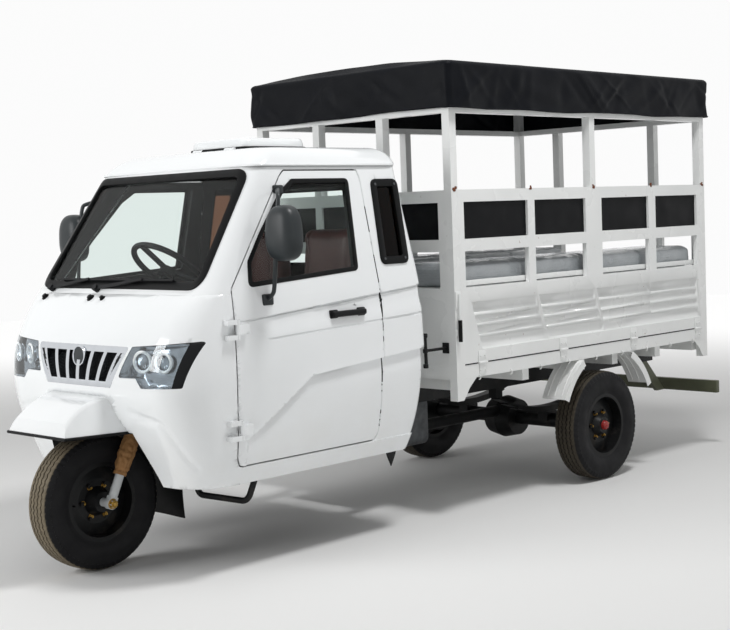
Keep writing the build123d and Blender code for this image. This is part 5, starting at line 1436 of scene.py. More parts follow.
    def build_hem(self, outline: list[Flat], runs: list[float], folds: list[Fold]) -> Piece:
        """Builds the doubled hem as a rolled edge round the skirt.

        Args:
            outline: The plan outline.
            runs: Each point's place along it.
            folds: The skirt's creases.

        Returns:
            The hem.
        """
        points = []
        for index, (x, y) in enumerate(outline):
            out = self.outward(outline, index)
            push = self.skirt_push(runs[index], 1.0, folds) - 0.0045
            points.append((x + out.x * push, y + out.y * push, self.hem_height(runs[index]) + 0.002))
        piece = tube("canopy_hem", points, 0.0042, closed=True)
        return dress(piece, Palette.TARPAULIN)


@dataclass
class Bed:
    """Fittings of the load bed: vinyl panels, hinge tabs, hooks, latches and mudguard ribs.

    Attributes:
        half: Half the bed's width.
        front: X of the headboard's face.
        rear: X of the bed's back.
        bays: Bays of the side lattice, as (front, rear) X.
        head_bays: Bays of the headboard, as (right, left) Y.
        panel_low: Height of the vinyl panels' foot.
        panel_high: Height of their upper edge.
        panel_inset: How far they lie inside the bed's faces.
        pocket_gain: How much deeper the drop sides' pockets are than the solids'.
        tabs: X of the hinge tabs.
        hook: Points of a rope hook, as (outwards, Z).
        posts: X of the posts.
        guard_radius: Radius of the rear mudguards' ribs.
    """

    half: float = 0.6625
    front: float = 0.250
    rear: float = -1.948
    bays: tuple[Flat, ...] = ((0.166, -0.314), (-0.369, -0.794), (-0.935, -1.373), (-1.441, -1.861))
    head_bays: tuple[Flat, ...] = ((-0.577, -0.242), (-0.198, 0.198), (0.242, 0.577))
    panel_low: float = 1.3025
    panel_high: float = 1.4735
    panel_inset: float = 0.0145
    pocket_gain: float = 1.6
    tabs: tuple[float, ...] = (0.068, -0.569, -1.196, -1.842)
    hook: tuple[Flat, ...] = ((0.0, 0.664), (0.009, 0.661), (0.012, 0.65), (0.009, 0.641), (0.001, 0.639))
    posts: tuple[float, ...] = (0.226, -0.342, -0.864, -1.407, -1.921)
    guard_radius: float = 0.4278

    def build(self) -> None:
        """Builds every fitting."""
        self.build_sides()
        self.build_panels()
        self.build_tabs()
        self.build_hooks()
        self.build_latches()
        self.build_ribs()
        self.build_seams()
        self.build_welds()

    def build_sides(self) -> None:
        """Builds the drop sides: copies of the solids, their pockets pressed deeper."""
        left = merged_copy("bed_side_left", "bed_side_left_skin")
        for vert in left.data.vertices:
            depth = self.half - vert.co.y
            if 0.0004 < depth < 0.0135 and 0.77 < vert.co.z < 1.03:
                vert.co.y = self.half - self.pocket_gain * depth
        soften(left, 0.0, angle=20)
        dress_pair(left, Palette.BED_PAINT, replaced=("bed_side_left",))

    def panel(self, name: str, corners: Sequence[Vector], out: Vector, seed: float) -> Piece:
        """Builds one vinyl panel that bellies a little between its edges.

        Args:
            name: The piece's name.
            corners: Its corners, the lower two first.
            out: Its outward direction.
            seed: Starts its ripples.

        Returns:
            The panel.
        """
        across, up = corners[1] - corners[0], corners[3] - corners[0]
        columns, rows = 28, 12
        shape = bmesh.new()
        grid = []
        for row in range(rows + 1):
            line = []
            for column in range(columns + 1):
                u, v = column / columns, row / rows
                belly = 0.004 * math.sin(math.pi * u) * math.sin(math.pi * v)
                edge = min(1.0, 6 * min(u, v, 1 - u, 1 - v))
                wave = 0.0028 * noise.noise((u * 4 + seed, v * 2.2, seed)) * edge
                line.append(shape.verts.new(corners[0] + across * u + up * v + out * (belly + wave)))
            grid.append(line)
        fill(shape, grid, ring=False)
        piece = from_bmesh(name, shape)
        return modify(piece, "SOLIDIFY", thickness=0.0016, offset=0.0)

    def build_panels(self) -> None:
        """Builds the charcoal vinyl panels of both sides and the front."""
        groups: dict[str, list[Piece]] = {"left": [], "right": [], "front": []}
        for side, key in ((Side.LEFT, "left"), (Side.RIGHT, "right")):
            y = side.value * (self.half - self.panel_inset)
            for index, (front, rear) in enumerate(self.bays):
                corners = [Vector((x, y, z)) for x, z in self.square(rear, front)]
                seed = index + side.value * 3.7
                groups[key].append(self.panel("panel", corners, Vector((0, side.value, 0)), seed))
        for index, (right, left) in enumerate(self.head_bays):
            corners = [Vector((self.front - self.panel_inset, y, z)) for y, z in self.square(right, left)]
            groups["front"].append(self.panel("panel", corners, Vector((1, 0, 0)), index + 9.1))
        for key, parts in groups.items():
            piece = soften(join(f"vinyl_panels_{key}", parts), 0.0, angle=50)
            dress(piece, Palette.VINYL, replaced=("infill_panels",) if key == "left" else ())

    def square(self, start: float, end: float) -> list[Flat]:
        """Corners of a panel between two places, its lower edge first."""
        low, high = self.panel_low, self.panel_high
        return [(start, low), (end, low), (end, high), (start, high)]

    def build_tabs(self) -> None:
        """Builds the hinge tabs along the drop sides' foot."""
        for side in Side:
            parts = []
            for x in self.tabs:
                y = side.value * self.half
                lows = sorted((y, y + side.value * 0.005))
                parts.append(block("leaf", (x - 0.028, lows[0], 0.724), (x + 0.028, lows[1], 0.775), 0.0015))
                parts.append(block("foot", (x - 0.022, lows[0], 0.662), (x + 0.022, lows[1], 0.712), 0.0015))
                barrel = (x - 0.03, y + side.value * 0.006, 0.718)
                parts.append(prism("barrel", barrel, (1, 0, 0), 0.0075, 0.06, 18, 0.001))
                for step in (-0.016, 0.016):
                    for z in (0.75, 0.682):
                        spot = (x + step, y + side.value * 0.004, z)
                        parts.append(prism("bolt", spot, (0, side.value, 0), 0.005, 0.005, 6, 0.0006))
            name = f"drop_side_hinges_{side.name.lower()}"
            dress(join(name, parts), Palette.BED_PAINT)

    def build_hooks(self) -> None:
        """Builds the rope hooks under the sills."""
        for side in Side:
            parts = []
            for index in range(9):
                x = self.front - 0.16 - index * 0.235
                y = side.value * (self.half - 0.004)
                points = [(x, y + side.value * away, z) for away, z in self.hook]
                parts.append(tube("hook", points, 0.0028, smooth=True))
            dress(join(f"rope_hooks_{side.name.lower()}", parts), Palette.BED_PAINT)

    def build_latches(self) -> None:
        """Builds the side latches on the front posts, with their rubber grips."""
        for side in Side:
            y = side.value * (self.half + 0.003)
            lows = sorted((side.value * self.half, side.value * (self.half + 0.006)))
            x = self.front - 0.012
            plate = block("plate", (x - 0.026, lows[0], 0.985), (x + 0.01, lows[1], 1.062), 0.0015)
            ends = [(x - 0.008, y + side.value * 0.008, 1.05), (x - 0.004, y + side.value * 0.012, 0.9)]
            bar = tube("bar", ends, 0.006)
            keeper = block("keeper", (x - 0.02, lows[0], 0.852), (x + 0.008, lows[1], 0.885), 0.0015)
            name = side.name.lower()
            dress(join(f"side_latch_{name}", [plate, bar, keeper]), Palette.BED_PAINT)
            ends = [(x - 0.005, y + side.value * 0.012, 0.93), (x - 0.002, y + side.value * 0.014, 0.83)]
            grip = tube(f"latch_grip_{name}", ends, 0.0095)
            dress(grip, Palette.SEAL_RUBBER)

    def build_seams(self) -> None:
        """Builds the black seams at the drop sides' foot and the white edges of the benches."""
        for side in Side:
            name = side.name.lower()
            y = side.value * (self.half - 0.0005)
            ends = [(self.front - 0.06, y, 0.7178), (self.rear + 0.06, y, 0.7178)]
            seam = tube(f"drop_side_seam_{name}", ends, 0.003)
            dress(seam, Palette.SEAL_RUBBER)
            lows = sorted(side.value * c for c in (0.6288, 0.6328))
            edge = block(f"bench_edge_{name}", (-1.885, lows[0], 1.082), (0.187, lows[1], 1.108), 0.0012)
            dress(edge, Palette.BED_PAINT)

    def build_welds(self) -> None:
        """Builds the rusted weld beads where the upper rails meet their posts."""
        beads = []
        rng = random.Random(5)
        for side in Side:
            for x in self.posts:
                for step in range(3):
                    deselect()
                    bpy.ops.mesh.primitive_ico_sphere_add(subdivisions=3, radius=1.0)
                    bead = bpy.context.active_object
                    y, z = side.value * (self.half + 0.0004), 1.528 + step * 0.006
                    spot = Vector((x + rng.uniform(-0.008, 0.008), y, z))
                    size = Vector((rng.uniform(0.006, 0.012), 0.0024, rng.uniform(0.004, 0.007)))
                    for vert in bead.data.vertices:
                        swell = 1 + 0.35 * noise.noise(vert.co * 1.7 + spot * 40)
                        vert.co = spot + Vector(c * s * swell for c, s in zip(vert.co, size))
                    beads.append(soften(bead, 0.0, angle=60))
        dress(join("rusted_welds", beads), Palette.RUST)

    def build_ribs(self) -> None:
        """Builds raised ribs over the rear mudguards."""
        parts = []
        for side in Side:
            for across in (0.575, 0.618, 0.661):
                for start, stop in ((27.0, 57.0), (123.0, 153.0)):
                    points = []
                    for step in range(13):
                        angle = math.radians(start + (stop - start) * step / 12)
                        x = REAR_AXLE_X + self.guard_radius * math.cos(angle)
                        points.append((x, side.value * across, AXLE_Z + self.guard_radius * math.sin(angle)))
                    parts.append(tube("rib", points, 0.005))
        dress(join("rear_mudguard_ribs", parts), Palette.BED_PAINT)


def inflate(piece: Piece, voxel: float, pressure: float, cap: float) -> Piece:
    """Swells a pad by cloth simulation, and applies it.

    Args:
        piece: The pad, a little smaller than it should become.
        voxel: Size of the remesh.
        pressure: Pressure inside it.
        cap: Most that a point may move.

    Returns:
        The same pad.
    """
    modify(piece, "REMESH", mode="VOXEL", voxel_size=voxel, use_smooth_shade=True)
    start = [v.co.copy() for v in piece.data.vertices]
    activate(piece)
    cloth = piece.modifiers.new("cloth", "CLOTH")
    cloth.settings.quality = 4
    cloth.settings.mass = 0.3
    cloth.settings.tension_stiffness = 18
    cloth.settings.compression_stiffness = 18
    cloth.settings.bending_stiffness = 0.6
    cloth.settings.use_pressure = True
    cloth.settings.uniform_pressure_force = pressure
    cloth.settings.effector_weights.gravity = 0.0
    cloth.collision_settings.use_collision = False
    scene = bpy.context.scene
    for number in range(1, 21):
        scene.frame_set(number)
    bpy.ops.object.modifier_apply(modifier=cloth.name)
    for vert, was in zip(piece.data.vertices, start):
        step = vert.co - was
        if step.length > cap:
            vert.co = was + step.normalized() * cap
    scene.frame_set(1)
    return modify(piece, "SMOOTH", factor=0.5, iterations=3)


@dataclass
class Benches:
    """Bubble-wrapped bench pads.

    Attributes:
        low: Lowest corner of the left pad.
        high: Highest corner of the left pad.
        shrink: How much smaller the pad starts.
        sections: Pads along one bench.
    """

    low: Point = (-1.885, 0.2662, 1.0765)
    high: Point = (0.187, 0.6222, 1.186)
    shrink: float = 0.007
    sections: int = 4

    def build(self) -> None:
        """Builds the left pads, swells them and copies them to the right."""
        low = [c + self.shrink for c in self.low]
        high = [c - self.shrink for c in self.high]
        low[2] = self.low[2] + 0.003
        pad = block("bench_pad_left", low, high, 0.018)
        inflate(pad, 0.01, 4.0, 0.012)
        self.crease(pad)
        modify(pad, "SUBSURF", levels=1, render_levels=1)
        soften(pad, 0.0, angle=60)
        for piece in dress_pair(pad, Palette.BUBBLE_WRAP, replaced=("bench_cushions",)):
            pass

    def crease(self, pad: Piece) -> None:
        """Presses the film's wraps and folds into the pad, and rests it flat.

        Args:
            pad: The swelled pad.
        """
        length = self.high[0] - self.low[0]
        for vert in pad.data.vertices:
            x, y, z = vert.co
            share = (x - self.low[0]) / length * self.sections
            inner = 0.2 < share < self.sections - 0.2
            seam = math.exp(-(((share - round(share)) / 0.012) ** 2)) if inner else 0.0
            film = 0.0035 * noise.noise((x * 14, y * 9, z * 12))
            film += 0.0025 * abs(noise.noise((x * 30, y * 22, z * 25)))
            vert.co += vert.normal * (film - 0.011 * seam)
            vert.co.z = max(vert.co.z, self.low[2])


@dataclass
class Seats:
    """The cab's two seats: moulded base, cushion and back.

    Attributes:
        offset: Centre plane to a seat's middle.
        half: Half a seat's width.
        rear: X of the seat's back.
        front: X of the cushion's front.
        foot: Height of the base's foot.
        top: Height of the cushion's top.
        back_top: Height of the back's top.
        tuck: How much narrower the pads are than the base, at each side.
    """

    offset: float = 0.262
    half: float = 0.232
    rear: float = 0.545
    front: float = 1.058
    foot: float = 0.4755
    top: float = 0.895
    back_top: float = 1.395
    tuck: float = 0.008

    def build(self) -> None:
        """Builds the left seat, swells its pads and copies them to the right."""
        low_y, high_y = self.offset - self.half, self.offset + self.half
        corner = (self.front - 0.05, high_y, self.top - 0.13)
        base = block("seat_base_left", (self.rear, low_y, self.foot), corner, 0.012)
        low_y, high_y = low_y + self.tuck, high_y - self.tuck
        low = (self.rear + 0.1, low_y, self.top - 0.125)
        seat = block("cushion", low, (self.front - 0.01, high_y, self.top - 0.014), 0.03)
        back = self.back_pad(low_y, high_y)
        for pad in (seat, back):
            inflate(pad, 0.01, 4.0, 0.014)
            self.channel(pad)
            modify(pad, "SUBSURF", levels=1, render_levels=1)
        pads = soften(join("seat_pads_left", [seat, back]), 0.0, angle=60)
        for piece in dress_pair(pads, Palette.LEATHERETTE, replaced=("seats",)):
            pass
        dress_pair(base, Palette.BLACK_ABS)

    def back_pad(self, low_y: float, high_y: float) -> Piece:
        """Builds the leaning back before it is swelled.

        Args:
            low_y: Its right side.
            high_y: Its left side.

        Returns:
            The back.
        """
        low = (self.rear + 0.012, low_y, self.top - 0.06)
        pad = block("back", low, (self.rear + 0.105, high_y, self.back_top - 0.01), 0.03)
        for vert in pad.data.vertices:
            rise = (vert.co.z - self.top) / (self.back_top - self.top)
            vert.co.x += 0.028 * (1 - rise)
            if rise > 0.55:
                squeeze = 1 - 0.22 * (rise - 0.55) / 0.45
                vert.co.y = self.offset + (vert.co.y - self.offset) * squeeze
        return pad

    def channel(self, pad: Piece) -> None:
        """Presses sewn channels into a pad's face.

        Args:
            pad: The swelled pad.
        """
        for vert in pad.data.vertices:
            across = vert.co.y - self.offset
            lines = sum(math.exp(-(((across - at) / 0.006) ** 2)) for at in (-0.125, 0.125))
            vert.co -= vert.normal * 0.007 * lines


@dataclass
class CabTrim:
    """Seals, rims and small trim of the cab, and dark sheets of painted shade inside it.

    Attributes:
        belt: Height of the straight sides' foot.
        gutter: Height of the roof's lower edge.
        half: Half the cab's width at the belt and at the gutter.
        corner: Radius of its front corners there.
        screen: X of the windscreen there.
        back: X of the back panel there.
        windscreen: Corners of that window, as (Y, Z).
        back_window: Corners of that window, as (Y, Z).
        door_window: Corners of that window, as (X, Z).
        quarter: Corners of the small side pane, as (X, Z).
        hatch_front: X of the hatch's front edge.
        hatch_half: Half the hatch's width.
        hatch_lift: How far its lid is lifted off the roof.
        wiper_height: Height of the wipers' pivots.
    """

    belt: float = 1.140
    gutter: float = 1.655
    half: Flat = (0.637, 0.540)
    corner: Flat = (0.110, 0.080)
    screen: Flat = (1.676, 1.332)
    back: Flat = (0.440, 0.482)
    windscreen: tuple[Flat, ...] = ((-0.546, 1.174), (0.546, 1.174), (0.500, 1.622), (-0.500, 1.622))
    back_window: tuple[Flat, ...] = ((-0.430, 1.200), (0.430, 1.200), (0.390, 1.560), (-0.390, 1.560))
    door_window: tuple[Flat, ...] = (
        (0.840, 1.198), (1.466, 1.162), (1.450, 1.262), (1.370, 1.365), (1.216, 1.540), (1.140, 1.590),
        (0.810, 1.590),
    )
    quarter: tuple[Flat, ...] = ((0.516, 1.214), (0.686, 1.214), (0.668, 1.584), (0.506, 1.584))
    hatch_front: float = 1.080
    hatch_half: float = 0.195
    hatch_lift: float = 0.010
    wiper_height: float = 1.122

    def between(self, ends: Flat, z: float) -> float:
        """A size at a height, from its sizes at the belt and at the gutter."""
        return ends[0] + (z - self.belt) / (self.gutter - self.belt) * (ends[1] - ends[0])

    def side_point(self, x: float, z: float) -> Vector:
        """A point of the left side's straight skin."""
        return Vector((x, self.between(self.half, z), z))

    def front_point(self, y: float, z: float) -> Vector:
        """Finds a point of the windscreen's skin, round its corners too.

        Args:
            y: Its place across.
            z: Its height.

        Returns:
            The point.
        """
        half = self.between(self.half, z)
        corner = self.between(self.corner, z)
        bow = 0.006 * (1 - (y / half) ** 2)
        past = max(abs(y) - (half - corner), 0.0)
        back = corner - math.sqrt(max(corner**2 - past**2, 0.0))
        return Vector((self.between(self.screen, z) + bow - back, y, z))

    def back_point(self, y: float, z: float) -> Vector:
        """A point of the back panel's skin."""
        return Vector((self.between(self.back, z), y, z))

    def side_out(self, _: Vector) -> Vector:
        """The left side's outward direction."""
        return Vector((0, self.gutter - self.belt, self.half[0] - self.half[1])).normalized()

    def front_out(self, at: Vector) -> Vector:
        """Finds the windscreen's outward direction.

        Args:
            at: A point of its skin.

        Returns:
            The direction there.
        """
        step = 0.002
        across = self.front_point(at.y + step, at.z) - self.front_point(at.y - step, at.z)
        up = self.front_point(at.y, at.z + step) - self.front_point(at.y, at.z - step)
        return across.cross(up).normalized()

    def back_out(self, _: Vector) -> Vector:
        """The back panel's outward direction."""
        return Vector((-1, 0, 0.08)).normalized()

    def seal(
        self,
        name: str,
        outline: Sequence[Flat],
        corner: float,
        band: tuple[float, float],
        place: Callable[[float, float], Vector],
        out: Callable[[Vector], Vector],
        rise: float,
    ) -> Piece:
        """Builds a rubber seal round a window.

        Args:
            name: The piece's name.
            outline: The window's corners.
            corner: Radius of its corners.
            band: How far the seal reaches outside and inside the outline.
            place: Puts a flat point on the skin.
            out: The skin's outward direction.
            rise: How far it stands proud.

        Returns:
            The seal.
        """
        outer = [place(*p) for p in rounded(grown(outline, band[0]), corner + band[0])]
        inner = [place(*p) for p in rounded(grown(outline, -band[1]), max(corner - band[1], 0.01))]
        return frame_band(name, outer, inner, out, rise, 0.012)

    def build(self) -> None:
        """Builds all trim."""
        front = (self.front_point, self.front_out)
        back = (self.back_point, self.back_out)
        screen = self.seal("windscreen_seal", self.windscreen, 0.05, (0.016, 0.016), *front, 0.006)
        dress(screen, Palette.SEAL_RUBBER)
        rear = self.seal("back_window_seal", self.back_window, 0.045, (0.014, 0.01), *back, 0.005)
        dress(rear, Palette.SEAL_RUBBER)
        side = (self.side_point, self.side_out)
        left = self.seal("door_seal_left", self.door_window, 0.022, (0.004, 0.016), *side, 0.003)
        dress_pair(left, Palette.SEAL_RUBBER, doors=True)
        self.build_quarters()
        self.build_interior_shade()
        self.build_gasket()
        self.build_gutter()
        self.build_washer()
        self.build_guard_trim()

    def build_quarters(self) -> None:
        """Builds the rims and screws of the small side panes."""
        side = (self.side_point, self.side_out)
        rim = self.seal("quarter_rim_left", self.quarter, 0.03, (0.004, 0.030), *side, 0.007)
        screws = []
        for x, z in grown(self.quarter, -0.02):
            spot = self.side_point(x, z)
            out = self.side_out(spot)
            screws.append(prism("screw", spot + out * 0.005, out, 0.006, 0.005, 16, 0.0012))
        dress_pair(rim, Palette.SEAL_RUBBER)
        dress_pair(join("quarter_screws_left", screws), Palette.CAST_METAL)

    def build_interior_shade(self) -> None:
        """Builds dark sheets as painted shade under the roof, round its hatch, and round the back window's
        inner side.
        """
        strips = [
            block("strip", low, high, 0.003)
            for low, high in (
                ((1.102, -0.49, 1.643), (1.284, 0.49, 1.652)),
                ((0.528, -0.49, 1.643), (0.678, 0.49, 1.652)),
                ((0.672, 0.217, 1.643), (1.108, 0.49, 1.652)),
                ((0.672, -0.49, 1.643), (1.108, -0.217, 1.652)),
            )
        ]
        wall = ((-0.575, 1.146), (0.575, 1.146), (0.488, 1.640), (-0.488, 1.640))

        def inside(y: float, z: float) -> Vector:
            """A point of the back panel's inner face."""
            return self.back_point(y, z) + Vector((0.0415, 0, 0))

        outer = [inside(*p) for p in rounded(wall, 0.05)]
        inner = [inside(*p) for p in rounded(grown(self.back_window, 0.008), 0.048)]
        back = frame_band("back_wall_painted_shade", outer, inner, lambda _: Vector((1, 0, 0)), 0.004, 0.0)
        # These near-black vinyl sheets are painted shade of the cab's interior
        interior_shade = join("cab_interior_painted_shade", [*strips, back])
        dress(interior_shade, Palette.VINYL)

    def build_gasket(self) -> None:
        """Builds the roof hatch's lid, domed higher than its solid, and the gasket round its foot."""
        low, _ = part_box("roof_hatch")
        lid = merged_copy("roof_hatch", "roof_hatch_lid")
        for vert in lid.data.vertices:
            if vert.co.x < self.hatch_front - 0.005:
                vert.co.z += self.hatch_lift + 0.8 * max(0.0, vert.co.z - low[2] - 0.012)
        dress(soften(lid, 0.0), Palette.CAB_PAINT, Body.HATCH, ("roof_hatch",))
        rear, front, half = low[0], self.hatch_front, self.hatch_half
        outline = [(rear, -half), (front, -half), (front, half), (rear, half)]
        foot = low[2] + 0.0006
        outer = [Vector((*p, foot)) for p in rounded(grown(outline, 0.007), 0.057)]
        inner = [Vector((*p, foot)) for p in rounded(grown(outline, -0.004), 0.046)]
        rise = self.hatch_lift + 0.0125
        gasket = frame_band("hatch_gasket", outer, inner, lambda _: Vector((0, 0, 1)), rise, 0.0)
        dress(gasket, Palette.SEAL_RUBBER, Body.HATCH)

    def build_gutter(self) -> None:
        """Builds the rain gutter round the roof's lower edge."""
        rear, front, half = self.back[1] - 0.008, self.screen[1] + 0.004, self.half[1] + 0.006
        corners = [(rear, -half), (front, -half), (front, half), (rear, half)]
        points = [(x, y, self.gutter - 0.003) for x, y in rounded(corners, self.corner[1], 10)]
        piece = tube("roof_gutter", points, 0.0065, closed=True)
        dress(piece, Palette.CAB_PAINT)

    def build_washer(self) -> None:
        """Builds the washer nozzle and the wipers' pivot caps below the windscreen."""
        tree = skin_tree("cab_nose")
        parts = []
        for y, size in ((-0.037, 0.009), (-0.476, 0.012), (-0.124, 0.012)):
            spot, out, *_ = ahead(tree, y, self.wiper_height)
            parts.append(prism("cap", spot - out * 0.003, out, size, 0.016, 20, 0.003))
            parts.append(prism("collar", spot - out * 0.003, out, size * 1.5, 0.006, 24, 0.002))
        dress(join("wiper_caps", parts), Palette.SEAL_RUBBER)

    def build_guard_trim(self) -> None:
        """Builds the black edging round the front mudguard's hem."""
        corners = ((1.722, 0.3065), (2.084, 0.2065), (2.084, -0.2065), (1.722, -0.3065))
        points = [(x, y, 0.594) for x, y in corners]
        piece = tube("mudguard_edging", points, 0.0065)
        dress(piece, Palette.SEAL_RUBBER)


def eased(share: float) -> float:
    """A smooth step from 0 to 1."""
    kept = min(max(share, 0.0), 1.0)
    return kept * kept * (3 - 2 * kept)


@dataclass
class CabSkin:
    """Pressed relief of the doors, side panels and nose: finer copies of their solids, pressed in and out.

    Attributes:
        pitch: Spacing of the cuts that make the copies finer.
        upper: Upper edge of the belt band, as (X, Z) from the front.
        lower: Lower edge of the belt band.
        crease: The crease across the door's lower half.
        nose_crease: The crease on the nose's left corner.
        band: Depth of the belt band.
        ledge: Depth under the crease.
        groove: Depth of the nose's crease.
    """

    pitch: float = 0.014
    upper: tuple[Flat, ...] = ((1.532, 1.030), (0.410, 1.116))
    lower: tuple[Flat, ...] = ((1.532, 1.030), (1.392, 0.950), (0.410, 0.992))
    crease: tuple[Flat, ...] = ((1.510, 0.548), (1.158, 0.775), (0.410, 0.832))
    nose_crease: tuple[Point, ...] = (
        (1.8553, 0.3277, 0.6834), (1.8376, 0.4863, 0.6506), (1.8221, 0.5124, 0.6204),
        (1.7908, 0.5352, 0.5606), (1.7487, 0.5537, 0.4924), (1.7177, 0.5699, 0.4588),
    )
    band: float = 0.008
    ledge: float = 0.009
    groove: float = 0.0045

    def build(self) -> None:
        """Builds the pressed skins of both sides and the nose."""
        for node, doors in (("door_left", True), ("cab_side_left", False)):
            left = self.pressed(node, (0.46, 1.54), None, (0.42, 1.13), self.side_push)
            dress_pair(left, Palette.CAB_PAINT, doors, (node,))
        nose = self.pressed("cab_nose", None, (0.3, 0.6), (0.44, 0.71), self.nose_push)
        dress(nose, Palette.CAB_PAINT, replaced=("cab_nose",))

    def pressed(
        self,
        node: str,
        along: Flat | None,
        across: Flat | None,
        up: Flat,
        push: Callable[[Vector, Vector], float],
    ) -> Piece:
        """Copies a solid, cuts it finer and presses its outer skin.

        Args:
            node: The CAD node.
            along: Where it is cut along X, or None.
            across: Where it is cut along Y, on both sides, or None.
            up: Where it is cut along Z.
            push: How far the skin is pressed in at a point with its faces' middle; less than zero is out.

        Returns:
            The new piece.
        """
        shape = bmesh.new()
        shape.from_mesh(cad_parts[node].data)
        bmesh.ops.remove_doubles(shape, verts=shape.verts, dist=MERGE)
        planes: list[tuple[int, float]] = []
        for axis, span in ((0, along), (1, across), (2, up)):
            if span:
                count = int((span[1] - span[0]) / self.pitch)
                places = [span[0] + self.pitch * step for step in range(count + 1)]
                planes += [(axis, place) for place in places]
                planes += [(axis, -place) for place in places if axis == 1]
        for axis, place in planes:
            direction = Vector((0, 0, 0))
            direction[axis] = 1.0
            bmesh.ops.bisect_plane(
                shape,
                geom=[*shape.verts, *shape.edges, *shape.faces],
                dist=1e-5,
                plane_co=direction * place,
                plane_no=direction,
            )
        shape.normal_update()
        steps = []
        for vert in shape.verts:
            outer = [f for f in vert.link_faces if self.is_outer(f)]
            if outer:
                near = sum((f.calc_center_median() for f in outer), Vector()) / len(outer)
                way = sum((f.normal for f in outer), Vector()).normalized()
                steps.append((vert, way * -push(vert.co, near)))
        for vert, step in steps:
            vert.co += step
        shape.normal_update()
        return soften(object_of(f"{node}_skin", shape), 0.0, angle=25)

    @staticmethod
    def is_outer(face: bmesh.types.BMFace) -> bool:
        """True if a face looks out of the cab, to a side or ahead."""
        spot = face.calc_center_median()
        return face.normal.y * math.copysign(1, spot.y) > 0.35 or face.normal.x > 0.35

    @staticmethod
    def height(points: Sequence[Flat], x: float) -> float:
        """Finds the height of a line.

        Args:
            points: Its points, as (X, Z), from the front.
            x: Where it is wanted.

        Returns:
            The height.
        """
        for (x0, z0), (x1, z1) in zip(points, points[1:]):
            if x >= x1:
                return z0 + (z1 - z0) * (x0 - min(x, x0)) / (x0 - x1)
        return points[-1][1]

    def side_push(self, at: Vector, near: Vector) -> float:
        """Works out how far a side is pressed in.

        Args:
            at: The point.
            near: The middle of the faces round it.

        Returns:
            The depth there.
        """
        push = 0.0
        top, foot = self.height(self.upper, at.x), self.height(self.lower, at.x)
        if foot < at.z < top:
            share = (top - at.z) / (top - foot)
            slope = eased(share / 0.1) * (1 - eased((share - 0.35) / 0.65))
            push += self.band * slope * eased((self.upper[0][0] - at.x) / 0.2)
        gap = abs(self.height(self.crease, at.x) - at.z)
        below = near.z < self.height(self.crease, near.x)
        edge = self.ledge * math.exp(-gap / 0.06) * eased((self.crease[0][0] - at.x) / 0.12)
        return push + (edge if below else -0.5 * edge)

    def nose_push(self, at: Vector, _: Vector) -> float:
        """Works out how far the nose is pressed in.

        Args:
            at: The point.
            _: The middle of the faces round it; not used.

        Returns:
            The depth there.
        """
        spot = Vector((at.x, abs(at.y), at.z))
        least = 1.0
        for first, second in zip(self.nose_crease, self.nose_crease[1:]):
            start, run = Vector(first), Vector(second) - Vector(first)
            share = min(max((spot - start).dot(run) / run.length_squared, 0.0), 1.0)
            least = min(least, (spot - start - run * share).length)
        return self.groove * math.exp(-((least / 0.014) ** 2)) if least < 0.04 else 0.0


